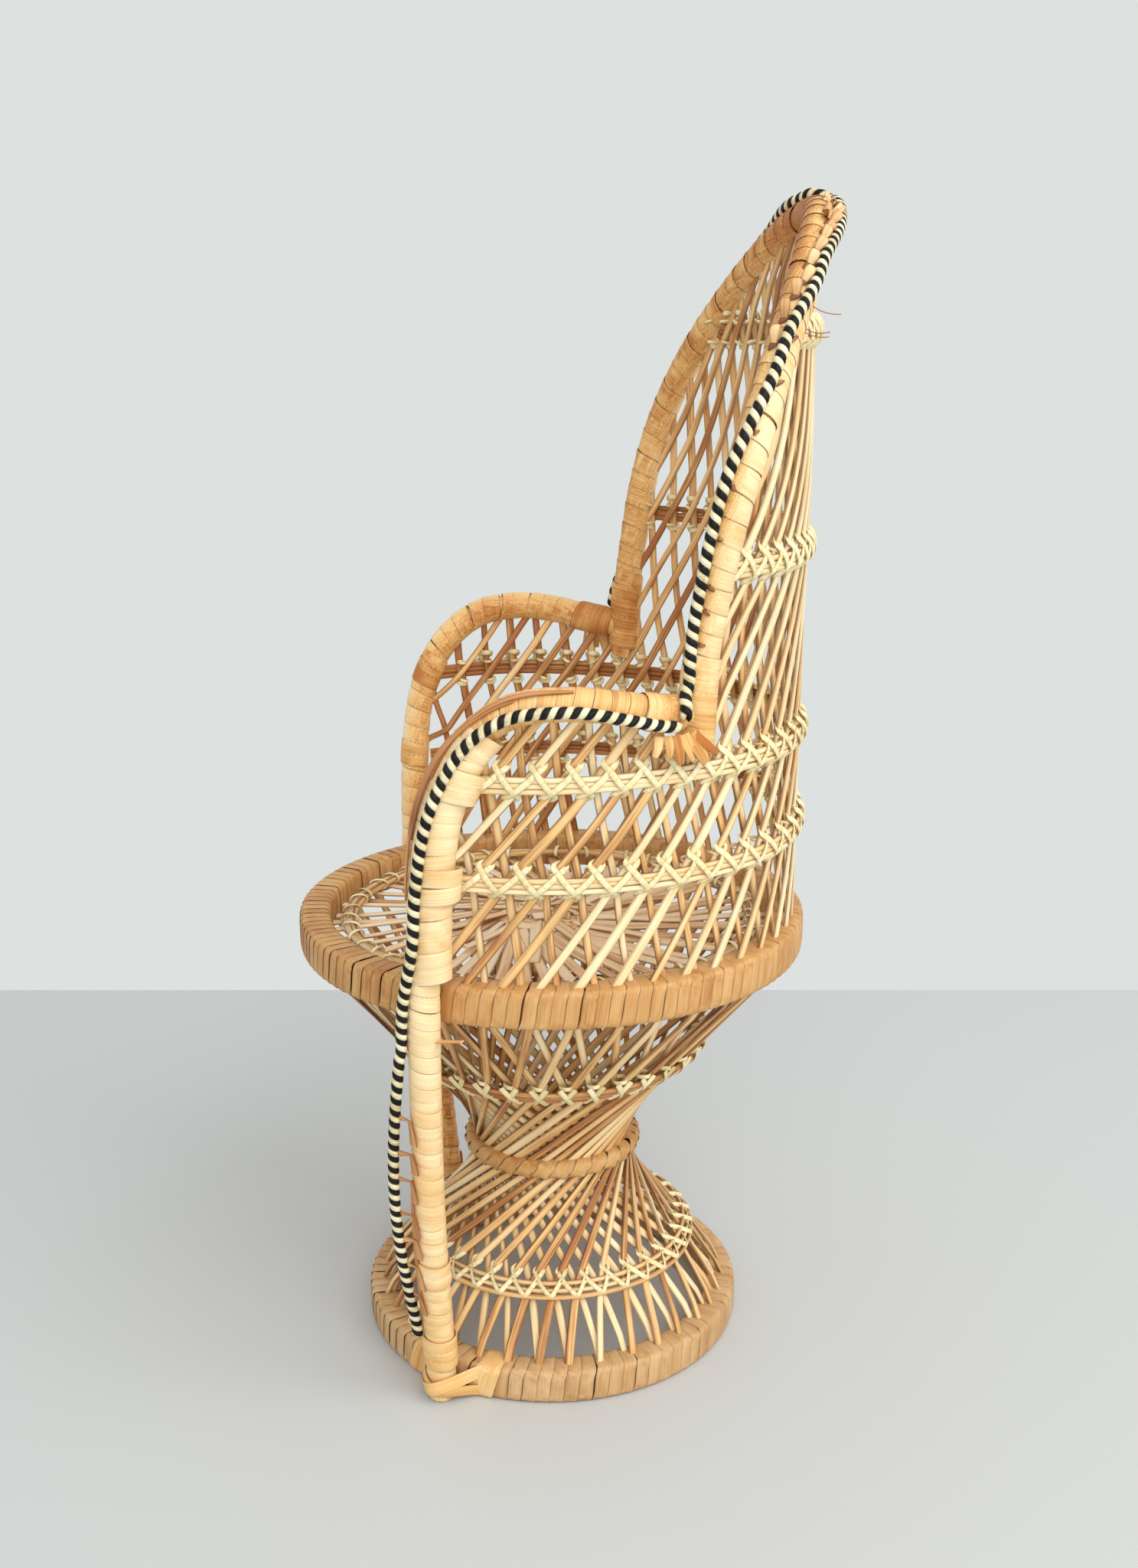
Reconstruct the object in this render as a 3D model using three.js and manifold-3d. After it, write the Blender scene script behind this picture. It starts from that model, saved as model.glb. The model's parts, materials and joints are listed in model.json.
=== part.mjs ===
import * as THREE from 'three';
import { mergeVertices } from 'three/addons/utils/BufferGeometryUtils.js';
import Module from 'manifold-3d';

// A small woven rattan peacock chair: an hourglass pedestal, a round seat and a barrel back under a hoop.
// Millimetres, +Z up, the sitter faces -Y.

const wasm = await Module();
wasm.setup();

// Rings
const seatRadius = 88;
const seatTop = 158;
const baseRadius = 67.7;
const ringHeight = 12.4;
const ringThickness = 10;
const ringChamfer = 2;
const ringSegments = 36;
const waistRadius = 31.4;
const waistHeight = 67.6;
const waistBand = 5.2;

// Split-reed stakes and the bars lashed across them
const stakeWidth = 2.8;
const stakeThickness = 1.2;
const layerPitch = 2.7;
const slotGap = 0.5;
const stakeTuck = 0.5;
const stakeFill = 0.86;
const stripLow = 3;
const barHeight = 5.2;
const barThickness = 2;
const barGap = 0.45;
const lashWidth = 1.6;
const lashThickness = 0.7;
const lashReach = 4.4;
const touchGap = 0.3;

// Pedestal weave
const pedestalPairs = 36;
const pedestalGroups = ['left', 'front', 'right'];
const lowerBandHeight = 32.7;
const lowerBandRadius = 48.5;
const upperBandHeight = 106.5;
const upperBandRadius = 51.2;
const lowerTurn = 5;
const waistTurn = 62.5;
const upperTurn = 120;
const seatTurn = 130;

// Barrel weave, angles in degrees from the back
const barrelSpacing = 8;
const bandRises = [34, 66, 127, 194];
const barrelShifts = [1.25, 2.75, 5.25, 7.75, 9.25];
const footOffset = 0.25;
const footStrip = 5;
const gather = 0.46;
const edgeAngle = 115.5;
const edgeWidth = 1.4;
const edgeRise = 70;
const edgeClear = 6;
const lashClear = 6;
const searchStep = 0.1;
const backStakeFirst = 14;
const backStakeLast = 16;
const backStripAngle = 5.4;
const backStripTuck = 1.6;
const backStripOver = 3;
const armFlare = 6;
const armBlend = 40;
const shoulderFlare = 12;
const shoulderLow = 82;
const shoulderHigh = 232;
const shoulderAngle = 60;

// Poles and edge piping
const poleRadius = 5;
const poleSides = 8;
const armSteps = 34;
const hoopSteps = 38;
const pipingRadius = 1.9;
const pipingGap = 0.5;
const pipingSides = 6;

// The legs stand outside both rings: degrees from the back, and how far they bow out between them
const leftFootAngle = 126.7;
const rightFootAngle = 119.2;
const legSeatAngle = 120.2;
const legFloorGap = 1.5;
const legGap = 0.5;
const legBulge = 1.2;

// Arm and half the hoop above the seat: degrees from the back, distance outside the seat ring, rise
const armPoints = [
  [120, 5.8, 2], [118.8, 7.4, 36], [116.3, 6.8, 60], [111, 4.1, 78], [102.8, 2.2, 88], [92.5, 3.1, 90.5],
  [83.7, 2.5, 89], [74.2, 0.3, 86], [65.6, -0.9, 84],
];
const hoopPoints = [
  [65.5, -1.2, 75], [65, -0.3, 97], [64, 2.1, 115], [62.9, 5.2, 133], [60.6, 7.8, 152], [56.5, 8, 170],
  [49.2, 4.5, 188], [38.8, -0.2, 204], [26.6, -3, 217.5], [13.6, -3.1, 227.5], [0, -2, 231.5],
];

// Where the piping lies round its pole, in degrees from outward towards the front, along the pole's length
const leftPipingAngles = [
  { along: 0.07, turn: 72 }, { along: 0.44, turn: 72 }, { along: 0.58, turn: 14 }, { along: 0.76, turn: 4 },
  { along: 0.86, turn: -7 }, { along: 0.955, turn: -20 },
];
const rightPipingAngles = [
  { along: 0.07, turn: 8 }, { along: 0.5, turn: 8 }, { along: 0.8, turn: -6 }, { along: 0.955, turn: -10 },
];
const hoopLeftPipingAngles = [
  { along: 0.5, turn: -43 }, { along: 0.53, turn: -64 }, { along: 0.56, turn: -60 },
  { along: 0.64, turn: -25 }, { along: 0.72, turn: 16 }, { along: 0.82, turn: 62 },
  { along: 0.962, turn: 62 },
];
const hoopRightPipingAngles = [
  { along: 0.5, turn: -43 }, { along: 0.55, turn: -4 }, { along: 0.7, turn: 0 }, { along: 0.9, turn: 5 },
  { along: 0.962, turn: 50 },
];
const outwardLean = 0.35;
const archCentre = 160;
const archRise = 1.4;
const looseLow = 24;
const looseDrop = 16;
const looseBow = 5;

// Seat web
const webThickness = 1.8;
const webDrop = 6.2;
const webRim = 3;
const spokeCount = 36;
const spokeGapAngle = 6.6;
const spokeTipShift = 2.3;
const hubRadius = 15;
const hubHole = 6;
const spokeSweep = 38;
const rimBarGap = 5.5;
const rimBarSize = 3;
const rimBarShoulder = 1.8;

const cane = { color: 0xd9a25c, roughness: 0.55 };
const palePeel = { color: 0xe6bf85, roughness: 0.5 };
const reed = { color: 0xcf9d62, roughness: 0.6 };
const innerReed = { color: 0xb98650, roughness: 0.65 };
const lash = { color: 0xe8ddb0, roughness: 0.55 };
const stripe = { color: 0x3a3633, roughness: 0.45 };

const group = new THREE.Group();
group.name = 'peacock_chair';

const vector = (x, y, z) => new THREE.Vector3(x, y, z);
const smooth = (t) => THREE.MathUtils.smoothstep(t, 0, 1);
const radians = THREE.MathUtils.degToRad;
const fullTurn = 360;

function signedVolume(geometry) {
  const p = geometry.attributes.position;
  const index = geometry.index.array;
  const corner = [vector(), vector(), vector()];
  let sum = 0;
  for (let i = 0; i < index.length; i += 3) {
    corner.forEach((v, k) => v.fromBufferAttribute(p, index[i + k]));
    sum += corner[0].dot(corner[1].clone().cross(corner[2]));
  }
  return sum / 6;
}

// Shared corners, faces turned outwards
function tidySolid(source) {
  const bare = source.clone();
  bare.deleteAttribute('normal');
  bare.deleteAttribute('uv');
  const geometry = mergeVertices(bare, 1e-4);
  if (signedVolume(geometry) < 0) {
    geometry.index.array.reverse();
  }
  return geometry;
}

function toManifold(geometry) {
  return new wasm.Manifold(new wasm.Mesh({
    numProp: 3,
    vertProperties: new Float32Array(geometry.attributes.position.array),
    triVerts: new Uint32Array(geometry.index.array),
  }));
}

function fromManifold(manifold) {
  const mesh = manifold.getMesh();
  const geometry = new THREE.BufferGeometry();
  geometry.setAttribute('position', new THREE.BufferAttribute(new Float32Array(mesh.vertProperties), 3));
  geometry.setIndex(new THREE.BufferAttribute(new Uint32Array(mesh.triVerts), 1));
  return geometry;
}

// The main body left after the tools are taken away, without loose slivers
function cut(geometry, tools) {
  const rest = tools.reduce((left, tool) => left.subtract(toManifold(tool)), toManifold(geometry));
  const bodies = rest.decompose().sort((a, b) => b.volume() - a.volume());
  return fromManifold(bodies[0]);
}

function addPart(name, source, look) {
  const geometry = source.index ? source : tidySolid(source);
  geometry.computeVertexNormals();
  const material = new THREE.MeshStandardMaterial({ ...look, metalness: 0, flatShading: true });
  const mesh = new THREE.Mesh(geometry, material);
  mesh.name = name;
  group.add(mesh);
}

function mirrored(source) {
  const geometry = source.clone();
  geometry.scale(-1, 1, 1);
  geometry.index.array.reverse();
  return geometry;
}

// A solid skinned over a row of equal sections, closed into a ring or capped at both ends
function loft(sections, ring) {
  const count = sections[0].length;
  const position = sections.flat().flatMap((v) => [v.x, v.y, v.z]);
  const index = [];
  const spans = ring ? sections.length : sections.length - 1;
  for (let s = 0; s < spans; s += 1) {
    const here = s * count;
    const next = ((s + 1) % sections.length) * count;
    for (let k = 0; k < count; k += 1) {
      const m = (k + 1) % count;
      index.push(here + k, here + m, next + m, here + k, next + m, next + k);
    }
  }
  if (!ring) {
    const last = (sections.length - 1) * count;
    for (let k = 1; k < count - 1; k += 1) {
      index.push(0, k + 1, k, last, last + k, last + k + 1);
    }
  }
  const geometry = new THREE.BufferGeometry();
  geometry.setAttribute('position', new THREE.Float32BufferAttribute(position, 3));
  geometry.setIndex(index);
  return tidySolid(geometry);
}

function ringSolid(profile) {
  const outline = [...profile, profile[0]].map(([r, z]) => new THREE.Vector2(r, z));
  const lathe = new THREE.LatheGeometry(outline, ringSegments);
  lathe.rotateX(Math.PI / 2);
  return tidySolid(lathe);
}

function tube(curve, radius, sides, steps) {
  const circle = new THREE.Shape();
  for (let k = 0; k < sides; k += 1) {
    const a = (2 * Math.PI * k) / sides;
    const move = k === 0 ? 'moveTo' : 'lineTo';
    circle[move](radius * Math.cos(a), radius * Math.sin(a));
  }
  circle.closePath();
  const geometry = new THREE.ExtrudeGeometry(circle, { steps, extrudePath: curve, curveSegments: 1 });
  return tidySolid(geometry);
}

// Place on a surface of revolution: degrees from the back, height, distance from the axis
function onBarrel(angle, z, r, side = 1) {
  return vector(side * r * Math.sin(radians(angle)), r * Math.cos(radians(angle)), z);
}

// Stakes on one strip: flat four-cornered patches of [angle, height], thickened and bent round the chair
function bentPlate(patches, place) {
  const corners = new Map();
  const position = [];
  const edges = new Map();
  const index = [];
  const corner = ([a, z]) => {
    const key = `${((a + 2 * fullTurn) % fullTurn).toFixed(4)} ${z.toFixed(4)}`;
    if (!corners.has(key)) {
      corners.set(key, corners.size);
      for (const depth of [-stakeThickness / 2, stakeThickness / 2]) {
        position.push(...place(a, z, depth).toArray());
      }
    }
    return 2 * corners.get(key);
  };
  patches.forEach((patch) => {
    const [p, q, r, s] = patch.map(corner);
    index.push(p, q, r, p, r, s, p + 1, r + 1, q + 1, p + 1, s + 1, r + 1);
    [[p, q], [q, r], [r, s], [s, p]].forEach(([from, to]) => {
      if (!edges.delete(`${to} ${from}`)) {
        edges.set(`${from} ${to}`, [from, to]);
      }
    });
  });
  edges.forEach(([from, to]) => index.push(from, from + 1, to + 1, from, to + 1, to));
  const geometry = new THREE.BufferGeometry();
  geometry.setAttribute('position', new THREE.Float32BufferAttribute(position, 3));
  geometry.setIndex(index);
  return tidySolid(geometry);
}

const leftOf = (s) => [s.a - s.half, s.zLeft ?? s.z];
const rightOf = (s) => [s.a + s.half, s.zRight ?? s.z];

function stakePatches(stations) {
  return stations.slice(1).map((next, k) => {
    const here = stations[k];
    return [leftOf(here), rightOf(here), rightOf(next), leftOf(next)];
  });
}

function stripPatches(angles, low, high) {
  return angles.slice(1).map((next, k) => [[angles[k], low], [next, low], [next, high], [angles[k], high]]);
}

// Half the width of a stake across its lean, in degrees round the chair
function halfAngle(a0, z0, a1, z1, r) {
  const slope = radians(a1 - a0) * r / (z1 - z0);
  return THREE.MathUtils.radToDeg((stakeWidth / 2) * Math.hypot(1, slope) / r);
}

// Rings
const slotWidth = stakeThickness + layerPitch + 2 * slotGap;
const hoopThickness = (ringThickness - slotWidth) / 2;
const layerInset = hoopThickness + slotGap + stakeThickness / 2;

function hoopPair(name, outerRadius, low) {
  const high = low + ringHeight;
  const slotOuter = outerRadius - hoopThickness;
  const inner = outerRadius - ringThickness;
  addPart(`${name}_outer_hoop`, ringSolid([
    [slotOuter, low], [outerRadius - ringChamfer / 2, low], [outerRadius, low + ringChamfer],
    [outerRadius, high - ringChamfer], [outerRadius - ringChamfer, high], [slotOuter, high],
  ]), cane);
  addPart(`${name}_inner_hoop`, ringSolid([
    [inner, low], [inner + hoopThickness, low], [inner + hoopThickness, high],
    [inner + ringChamfer, high], [inner, high - ringChamfer],
  ]), cane);
}

hoopPair('base', baseRadius, 0);
hoopPair('seat', seatRadius, seatTop - ringHeight);

const waistStake = waistRadius - hoopThickness - slotGap - stakeThickness / 2;
const waistLow = waistHeight - waistBand / 2;
const waistHigh = waistHeight + waistBand / 2;
const waistCore = waistStake - layerPitch - stakeThickness / 2 - slotGap;
for (const [name, outer] of [['waist_outer_hoop', waistRadius], ['waist_inner_hoop', waistCore]]) {
  const inner = outer - hoopThickness;
  addPart(name, ringSolid([
    [inner, waistLow], [outer, waistLow], [outer, waistHigh], [inner, waistHigh],
  ]), cane);
}

// Pedestal stakes, a lower and an upper set that meet inside the waist ring, each nailed to three strips
const pedestalStations = [
  { z: ringHeight, r: baseRadius - layerInset, turn: 0 },
  { z: lowerBandHeight, r: lowerBandRadius, turn: lowerTurn },
  { z: waistHeight - touchGap / 2, r: waistStake, turn: waistTurn },
  { z: waistHeight + touchGap / 2, r: waistStake, turn: waistTurn },
  { z: waistHigh - touchGap, r: waistStake, turn: waistTurn },
  { z: upperBandHeight, r: upperBandRadius, turn: upperTurn },
  { z: seatTop - ringHeight + stakeTuck, r: seatRadius - layerInset, turn: seatTurn },
];
const lowerStakes = { stations: pedestalStations.slice(0, 3), strip: [stripLow, ringHeight] };
const upperStakes = {
  stations: pedestalStations.slice(4),
  strip: [pedestalStations[3].z, pedestalStations[4].z],
};

function pedestalRadius(z) {
  const s = pedestalStations;
  const k = Math.max(1, Math.min(s.length - 1, s.findIndex((station) => station.z >= z)));
  const t = THREE.MathUtils.clamp((z - s[k - 1].z) / (s[k].z - s[k - 1].z), 0, 1);
  return THREE.MathUtils.lerp(s[k - 1].r, s[k].r, t);
}

function pedestalStakes({ stations, strip }, layer, side, group) {
  const pitch = fullTurn / pedestalPairs;
  const inset = layer * layerPitch;
  const patches = [];
  const feet = [];
  const count = pedestalPairs / pedestalGroups.length;
  for (let i = group * count; i < (group + 1) * count; i += 1) {
    const stake = stations.map((s, k) => {
      const before = stations[Math.max(k, 1) - 1];
      const after = stations[Math.max(k, 1)];
      const half = halfAngle(before.turn, before.z, after.turn, after.z, s.r - inset);
      return { a: i * pitch + s.turn, z: s.z, half: Math.min(half, pitch * stakeFill / 2) };
    });
    patches.push(...stakePatches(stake));
    feet.push(leftOf(stake[0])[0], rightOf(stake[0])[0]);
  }
  patches.push(...stripPatches(feet, ...strip));
  return bentPlate(patches, (a, z, depth) => onBarrel(a, z, pedestalRadius(z) - inset + depth, side));
}

for (const [name, stakes] of [['lower', lowerStakes], ['upper', upperStakes]]) {
  pedestalGroups.forEach((place, group) => {
    const mirrored = pedestalGroups.length - 1 - group;
    addPart(`pedestal_${name}_outer_stakes_${place}`, pedestalStakes(stakes, 0, -1, mirrored), reed);
    addPart(`pedestal_${name}_inner_stakes_${place}`, pedestalStakes(stakes, 1, 1, group), innerReed);
  });
}

// Bars and lashings on the pedestal
function barSection(place, z) {
  const inner = stakeThickness / 2 + barGap;
  const outer = inner + barThickness;
  const low = z - barHeight / 2;
  const high = z + barHeight / 2;
  return [place(low, inner), place(low, outer), place(high, outer), place(high, inner)];
}

function lashSection(place, z, up) {
  const inner = stakeThickness / 2 + barGap + barThickness + touchGap;
  const outer = inner + lashThickness;
  const half = lashWidth / 2;
  const centre = z + up * (lashReach - half);
  return [
    place(centre - half, inner), place(centre - half, outer), place(centre + half, outer),
    place(centre + half, inner),
  ];
}

function pedestalBand(name, z) {
  const pitch = fullTurn / pedestalPairs;
  const bar = [];
  const lashing = [];
  for (let i = 0; i < pedestalPairs; i += 1) {
    const at = (angle) => (height, depth) => onBarrel(angle, height, pedestalRadius(height) + depth);
    bar.push(barSection(at(i * pitch), z));
    lashing.push(lashSection(at(i * pitch), z, 1), lashSection(at((i + 0.5) * pitch), z, -1));
  }
  addPart(`${name}_bar`, loft(bar, true), reed);
  addPart(`${name}_lashing`, loft(lashing, true), lash);
}

pedestalBand('pedestal_lower', lowerBandHeight);
pedestalBand('pedestal_upper', upperBandHeight);

// Poles
const seatLow = seatTop - ringHeight;
const legStandoff = poleRadius + legGap;
const footRadius = baseRadius + legStandoff;
const railRadius = seatRadius + legStandoff;
const aboveSeat = ([angle, out, rise]) => onBarrel(angle, seatTop + rise, seatRadius + out);

// Leg and arm are one bent pole, drawn here on the left side
function armCurve(footAngle) {
  const middleAngle = (footAngle + legSeatAngle) / 2;
  const legPoints = [
    onBarrel(footAngle, legFloorGap, footRadius),
    onBarrel(footAngle, ringHeight, footRadius),
    onBarrel(middleAngle, (ringHeight + seatLow) / 2, (footRadius + railRadius) / 2 + legBulge),
    onBarrel(legSeatAngle, seatLow, railRadius),
  ];
  return new THREE.CatmullRomCurve3([...legPoints, ...armPoints.map(aboveSeat)], false, 'centripetal');
}

const leftArm = armCurve(leftFootAngle);
const rightArm = armCurve(rightFootAngle);
const leftHalf = hoopPoints.map(aboveSeat).reverse();
const rightHalf = leftHalf.slice(1).map((p) => vector(-p.x, p.y, p.z)).reverse();
const hoop = new THREE.CatmullRomCurve3([...rightHalf, ...leftHalf], false, 'centripetal');
const barrelBands = bandRises.map((rise) => seatTop + rise);
const hoopCutter = tube(hoop, poleRadius + touchGap, poleSides, hoopSteps);
const armCutter = (curve) => tube(curve, poleRadius + touchGap, poleSides, armSteps);
const armPole = (curve) => cut(tube(curve, poleRadius, poleSides, armSteps), [hoopCutter]);
const poleCutters = [hoopCutter, armCutter(leftArm), mirrored(armCutter(rightArm))];
addPart('left_arm_pole', armPole(leftArm), palePeel);
addPart('right_arm_pole', mirrored(armPole(rightArm)), palePeel);
addPart('back_hoop_pole', tube(hoop, poleRadius, poleSides, hoopSteps), palePeel);

// Height of the pole above each angle, so that stakes and bars stop at it
const poleLine = [];
const poleSamples = 200;
for (let i = 0; i <= poleSamples; i += 1) {
  for (const curve of [hoop, leftArm]) {
    const p = curve.getPointAt(i / poleSamples);
    if (p.x >= 0 && p.z > barrelBands[0]) {
      poleLine.push([THREE.MathUtils.radToDeg(Math.atan2(p.x, p.y)), p.z]);
    }
  }
}
poleLine.sort((a, b) => a[0] - b[0]);

function poleHeight(angle) {
  const a = Math.abs(angle);
  const k = poleLine.findIndex(([at]) => at >= a);
  if (k < 0) {
    return 0;
  }
  return poleLine[k][1];
}

// Barrel stakes
const seatLayer = seatRadius - layerInset;
const hoopTop = seatTop + hoopPoints.at(-1)[2];
const armTop = seatTop + Math.max(...armPoints.map((p) => p[2]));
const edgeTop = seatTop + edgeRise;
const footTop = seatTop - touchGap;
const footLow = footTop - footStrip;

function barrelRadius(angle, z) {
  const a = Math.abs(angle);
  const arm = armFlare * smooth((z - seatTop) / (armTop - seatTop)) * smooth((a - shoulderAngle) / armBlend);
  const t = THREE.MathUtils.clamp((z - seatTop - shoulderLow) / (shoulderHigh - shoulderLow), 0, 1);
  const shoulder = shoulderFlare * Math.sin(Math.PI * t) ** 2 * (a / shoulderAngle) ** 2;
  return seatLayer + arm + shoulder;
}

function weaveShift(z) {
  const heights = [footTop, ...barrelBands, hoopTop];
  const shifts = [0, ...barrelShifts];
  const k = Math.max(1, heights.findIndex((h) => h >= z));
  const t = (z - heights[k - 1]) / (heights[k] - heights[k - 1]);
  return THREE.MathUtils.lerp(shifts[k - 1], shifts[k], t);
}

function stakeAngle(index, z) {
  const squeeze = 1 - gather * (z - seatTop) / (hoopTop - seatTop);
  return (index + footOffset - weaveShift(z)) * barrelSpacing * squeeze;
}

function stakeHalf(index, z) {
  return halfAngle(stakeAngle(index, z - 1), z - 1, stakeAngle(index, z + 1), z + 1, barrelRadius(0, z));
}

function stakeTip(index, from) {
  let z = from;
  while (z < hoopTop && z < poleHeight(stakeAngle(index, z))) {
    z += searchStep;
  }
  return z;
}

// Height at which a stake leaves the upright edge strip
function edgeHeight(index, offset) {
  let z = footTop;
  while (stakeAngle(index, z) + offset > edgeAngle) {
    z += searchStep;
  }
  return z;
}

const stationHeights = [
  ...barrelBands, (barrelBands[1] + barrelBands[2]) / 2, (barrelBands[2] + barrelBands[3]) / 2,
].sort((a, b) => a - b);

function barrelStake(index, from, foot) {
  const tip = stakeTip(index, from);
  const heights = [...stationHeights.filter((z) => z > from + edgeClear && z < tip - edgeClear), tip];
  return [foot, ...heights.map((z) => ({ a: stakeAngle(index, z), z, half: stakeHalf(index, z) }))];
}

function barrelStakes(layer, side) {
  const ringCount = Math.floor(edgeAngle / barrelSpacing);
  const uprightHalf = THREE.MathUtils.radToDeg(stakeWidth / 2 / seatLayer);
  const patches = [];
  const feet = [];
  for (let i = -ringCount; i <= ringCount; i += 1) {
    const foot = { a: stakeAngle(i, footTop), z: footTop, half: uprightHalf };
    feet.push(leftOf(foot)[0], rightOf(foot)[0]);
    patches.push(...stakePatches(barrelStake(i, footTop, foot)));
  }
  const edgeOuter = edgeAngle + THREE.MathUtils.radToDeg(edgeWidth / seatLayer);
  patches.push(...stripPatches([...feet, edgeAngle, edgeOuter], footLow, footTop));
  const steps = [footTop];
  for (let i = ringCount + 1; edgeHeight(i, 0) < edgeTop - edgeClear; i += 1) {
    const from = edgeHeight(i, 0);
    const half = stakeHalf(i, from);
    const foot = { a: edgeAngle, half: 0, zLeft: edgeHeight(i, -half), zRight: edgeHeight(i, half) };
    steps.push(foot.zLeft, foot.zRight);
    patches.push(...stakePatches(barrelStake(i, from, foot)));
  }
  [...steps, edgeTop].slice(1).forEach((high, k) => {
    patches.push(...stripPatches([edgeAngle, edgeOuter], steps[k], high));
  });
  const inset = layer * layerPitch;
  const place = (a, z, depth) => onBarrel(a, z, barrelRadius(a, z) - inset + depth, side);
  return cut(bentPlate(patches, place), poleCutters);
}

addPart('barrel_outer_stakes', barrelStakes(0, 1), reed);
addPart('barrel_inner_stakes', barrelStakes(1, -1), innerReed);

// Shorter back stakes that start beside the hoop, on a strip bent along its inner side
const hoopSide = Array.from({ length: poleSamples + 1 }, (_, i) => {
  const p = hoop.getPointAt(1 - i / (2 * poleSamples));
  return [p.z, THREE.MathUtils.radToDeg(Math.atan2(p.x, p.y))];
});

function hoopAngle(z) {
  const k = Math.max(1, hoopSide.findIndex(([height]) => height >= z));
  const [low, high] = [hoopSide[k - 1], hoopSide[k]];
  return THREE.MathUtils.lerp(low[1], high[1], (z - low[0]) / (high[0] - low[0]));
}

const backEdge = (z) => hoopAngle(z) - backStripAngle;
const backTuck = (z) => hoopAngle(z) - backStripTuck;

function backEdgeHeight(index, offset) {
  let z = armTop;
  while (z < hoopTop - 1 && stakeAngle(index, z) + offset > backEdge(z)) {
    z += searchStep;
  }
  return z;
}

function backStakes(layer, side) {
  const patches = [];
  const steps = [];
  for (let i = backStakeFirst; i <= backStakeLast; i += 1) {
    const from = backEdgeHeight(i, 0);
    const half = stakeHalf(i, from);
    const zLeft = backEdgeHeight(i, -half);
    const zRight = backEdgeHeight(i, half);
    const [left, right] = [backEdge(zLeft), backEdge(zRight)];
    steps.push(zLeft, zRight);
    const foot = { a: (left + right) / 2, half: (right - left) / 2, zLeft, zRight };
    patches.push(...stakePatches(barrelStake(i, from, foot)));
  }
  steps.unshift(steps[0] - backStripOver);
  steps.push(steps.at(-1) + backStripOver);
  steps.slice(1).forEach((high, k) => {
    const low = steps[k];
    patches.push([
      [backEdge(low), low], [backTuck(low), low], [backTuck(high), high], [backEdge(high), high],
    ]);
  });
  const place = (a, z, depth) => onBarrel(a, z, barrelRadius(a, z) - layer * layerPitch + depth, side);
  return cut(bentPlate(patches, place), poleCutters);
}

addPart('back_outer_stakes', backStakes(0, 1), reed);
addPart('back_inner_stakes', backStakes(1, -1), innerReed);

// Bars and lashings on the barrel
function barrelBand(name, z) {
  const pitch = barrelSpacing * (1 - gather * (z - seatTop) / (hoopTop - seatTop));
  let reach = 0;
  while (reach < edgeAngle && poleHeight(reach) > z) {
    reach += searchStep;
  }
  const at = (angle) => (height, depth) => onBarrel(angle, height, barrelRadius(angle, height) + depth);
  const bars = Math.ceil(2 * reach / barrelSpacing);
  const bar = [];
  for (let i = 0; i <= bars; i += 1) {
    bar.push(barSection(at(-reach + (2 * reach * i) / bars), z));
  }
  const lashing = [];
  const knots = Math.floor((reach - lashClear) / pitch);
  for (let i = -2 * knots; i <= 2 * knots; i += 1) {
    lashing.push(lashSection(at(i * pitch / 2), z, i % 2 === 0 ? 1 : -1));
  }
  addPart(`${name}_bar`, cut(loft(bar, false), poleCutters), reed);
  addPart(`${name}_lashing`, cut(loft(lashing, false), poleCutters), lash);
}

const barrelBandNames = ['barrel_lower', 'barrel_upper', 'back_middle', 'back_top'];
barrelBandNames.forEach((name, k) => barrelBand(name, barrelBands[k]));

// Edge piping
function interpolate(table, t) {
  const k = Math.max(1, table.findIndex(({ along }) => along >= t - 1e-9));
  const [from, to] = [table[k - 1], table[k]];
  return THREE.MathUtils.lerp(from.turn, to.turn, smooth((t - from.along) / (to.along - from.along)));
}

function besidePole(curve, t, angle, extra) {
  const p = curve.getPointAt(t);
  const tangent = curve.getTangentAt(t);
  const out = vector(p.x, p.y * outwardLean, Math.max(0, p.z - seatTop - archCentre) * archRise);
  out.addScaledVector(tangent, -out.dot(tangent)).normalize();
  const front = out.clone().cross(tangent).normalize();
  const reach = poleRadius + pipingRadius + pipingGap + extra;
  p.addScaledVector(out, reach * Math.cos(radians(angle)));
  return p.addScaledVector(front, reach * Math.sin(radians(angle)));
}

function pipingLine(curve, angles, side, extra) {
  const from = angles[0].along;
  const to = angles.at(-1).along;
  return Array.from({ length: pipingSamples + 1 }, (_, i) => {
    const t = THREE.MathUtils.lerp(from, to, i / pipingSamples);
    return besidePole(curve, t, side * interpolate(angles, t), extra(t));
  });
}

// The lower left piping has come off its stitches and bows away from the leg
function legBow(t) {
  const looseHigh = seatTop - looseDrop;
  const share = THREE.MathUtils.clamp((leftArm.getPointAt(t).z - looseLow) / (looseHigh - looseLow), 0, 1);
  return t < leftPipingAngles[1].along ? looseBow * Math.sin(Math.PI * share) : 0;
}

const pipingSamples = 24;
const piping = (points, steps) => {
  const line = new THREE.CatmullRomCurve3(points, false, 'centripetal');
  return tube(line, pipingRadius, pipingSides, steps);
};
const held = () => 0;
const leftPiping = piping(pipingLine(leftArm, leftPipingAngles, 1, legBow), armSteps);
const rightPiping = piping(pipingLine(rightArm, rightPipingAngles, 1, held), armSteps);
addPart('left_arm_piping', leftPiping, stripe);
addPart('right_arm_piping', mirrored(rightPiping), stripe);

const hoopLeftLine = pipingLine(hoop, hoopLeftPipingAngles, -1, held);
hoopLeftLine[0].x = 0;
const hoopRightLine = pipingLine(hoop, hoopRightPipingAngles, -1, held).slice(1);
const hoopFarLine = hoopRightLine.map((p) => vector(-p.x, p.y, p.z)).reverse();
addPart('back_hoop_piping', piping([...hoopFarLine, ...hoopLeftLine], hoopSteps), stripe);

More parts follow.
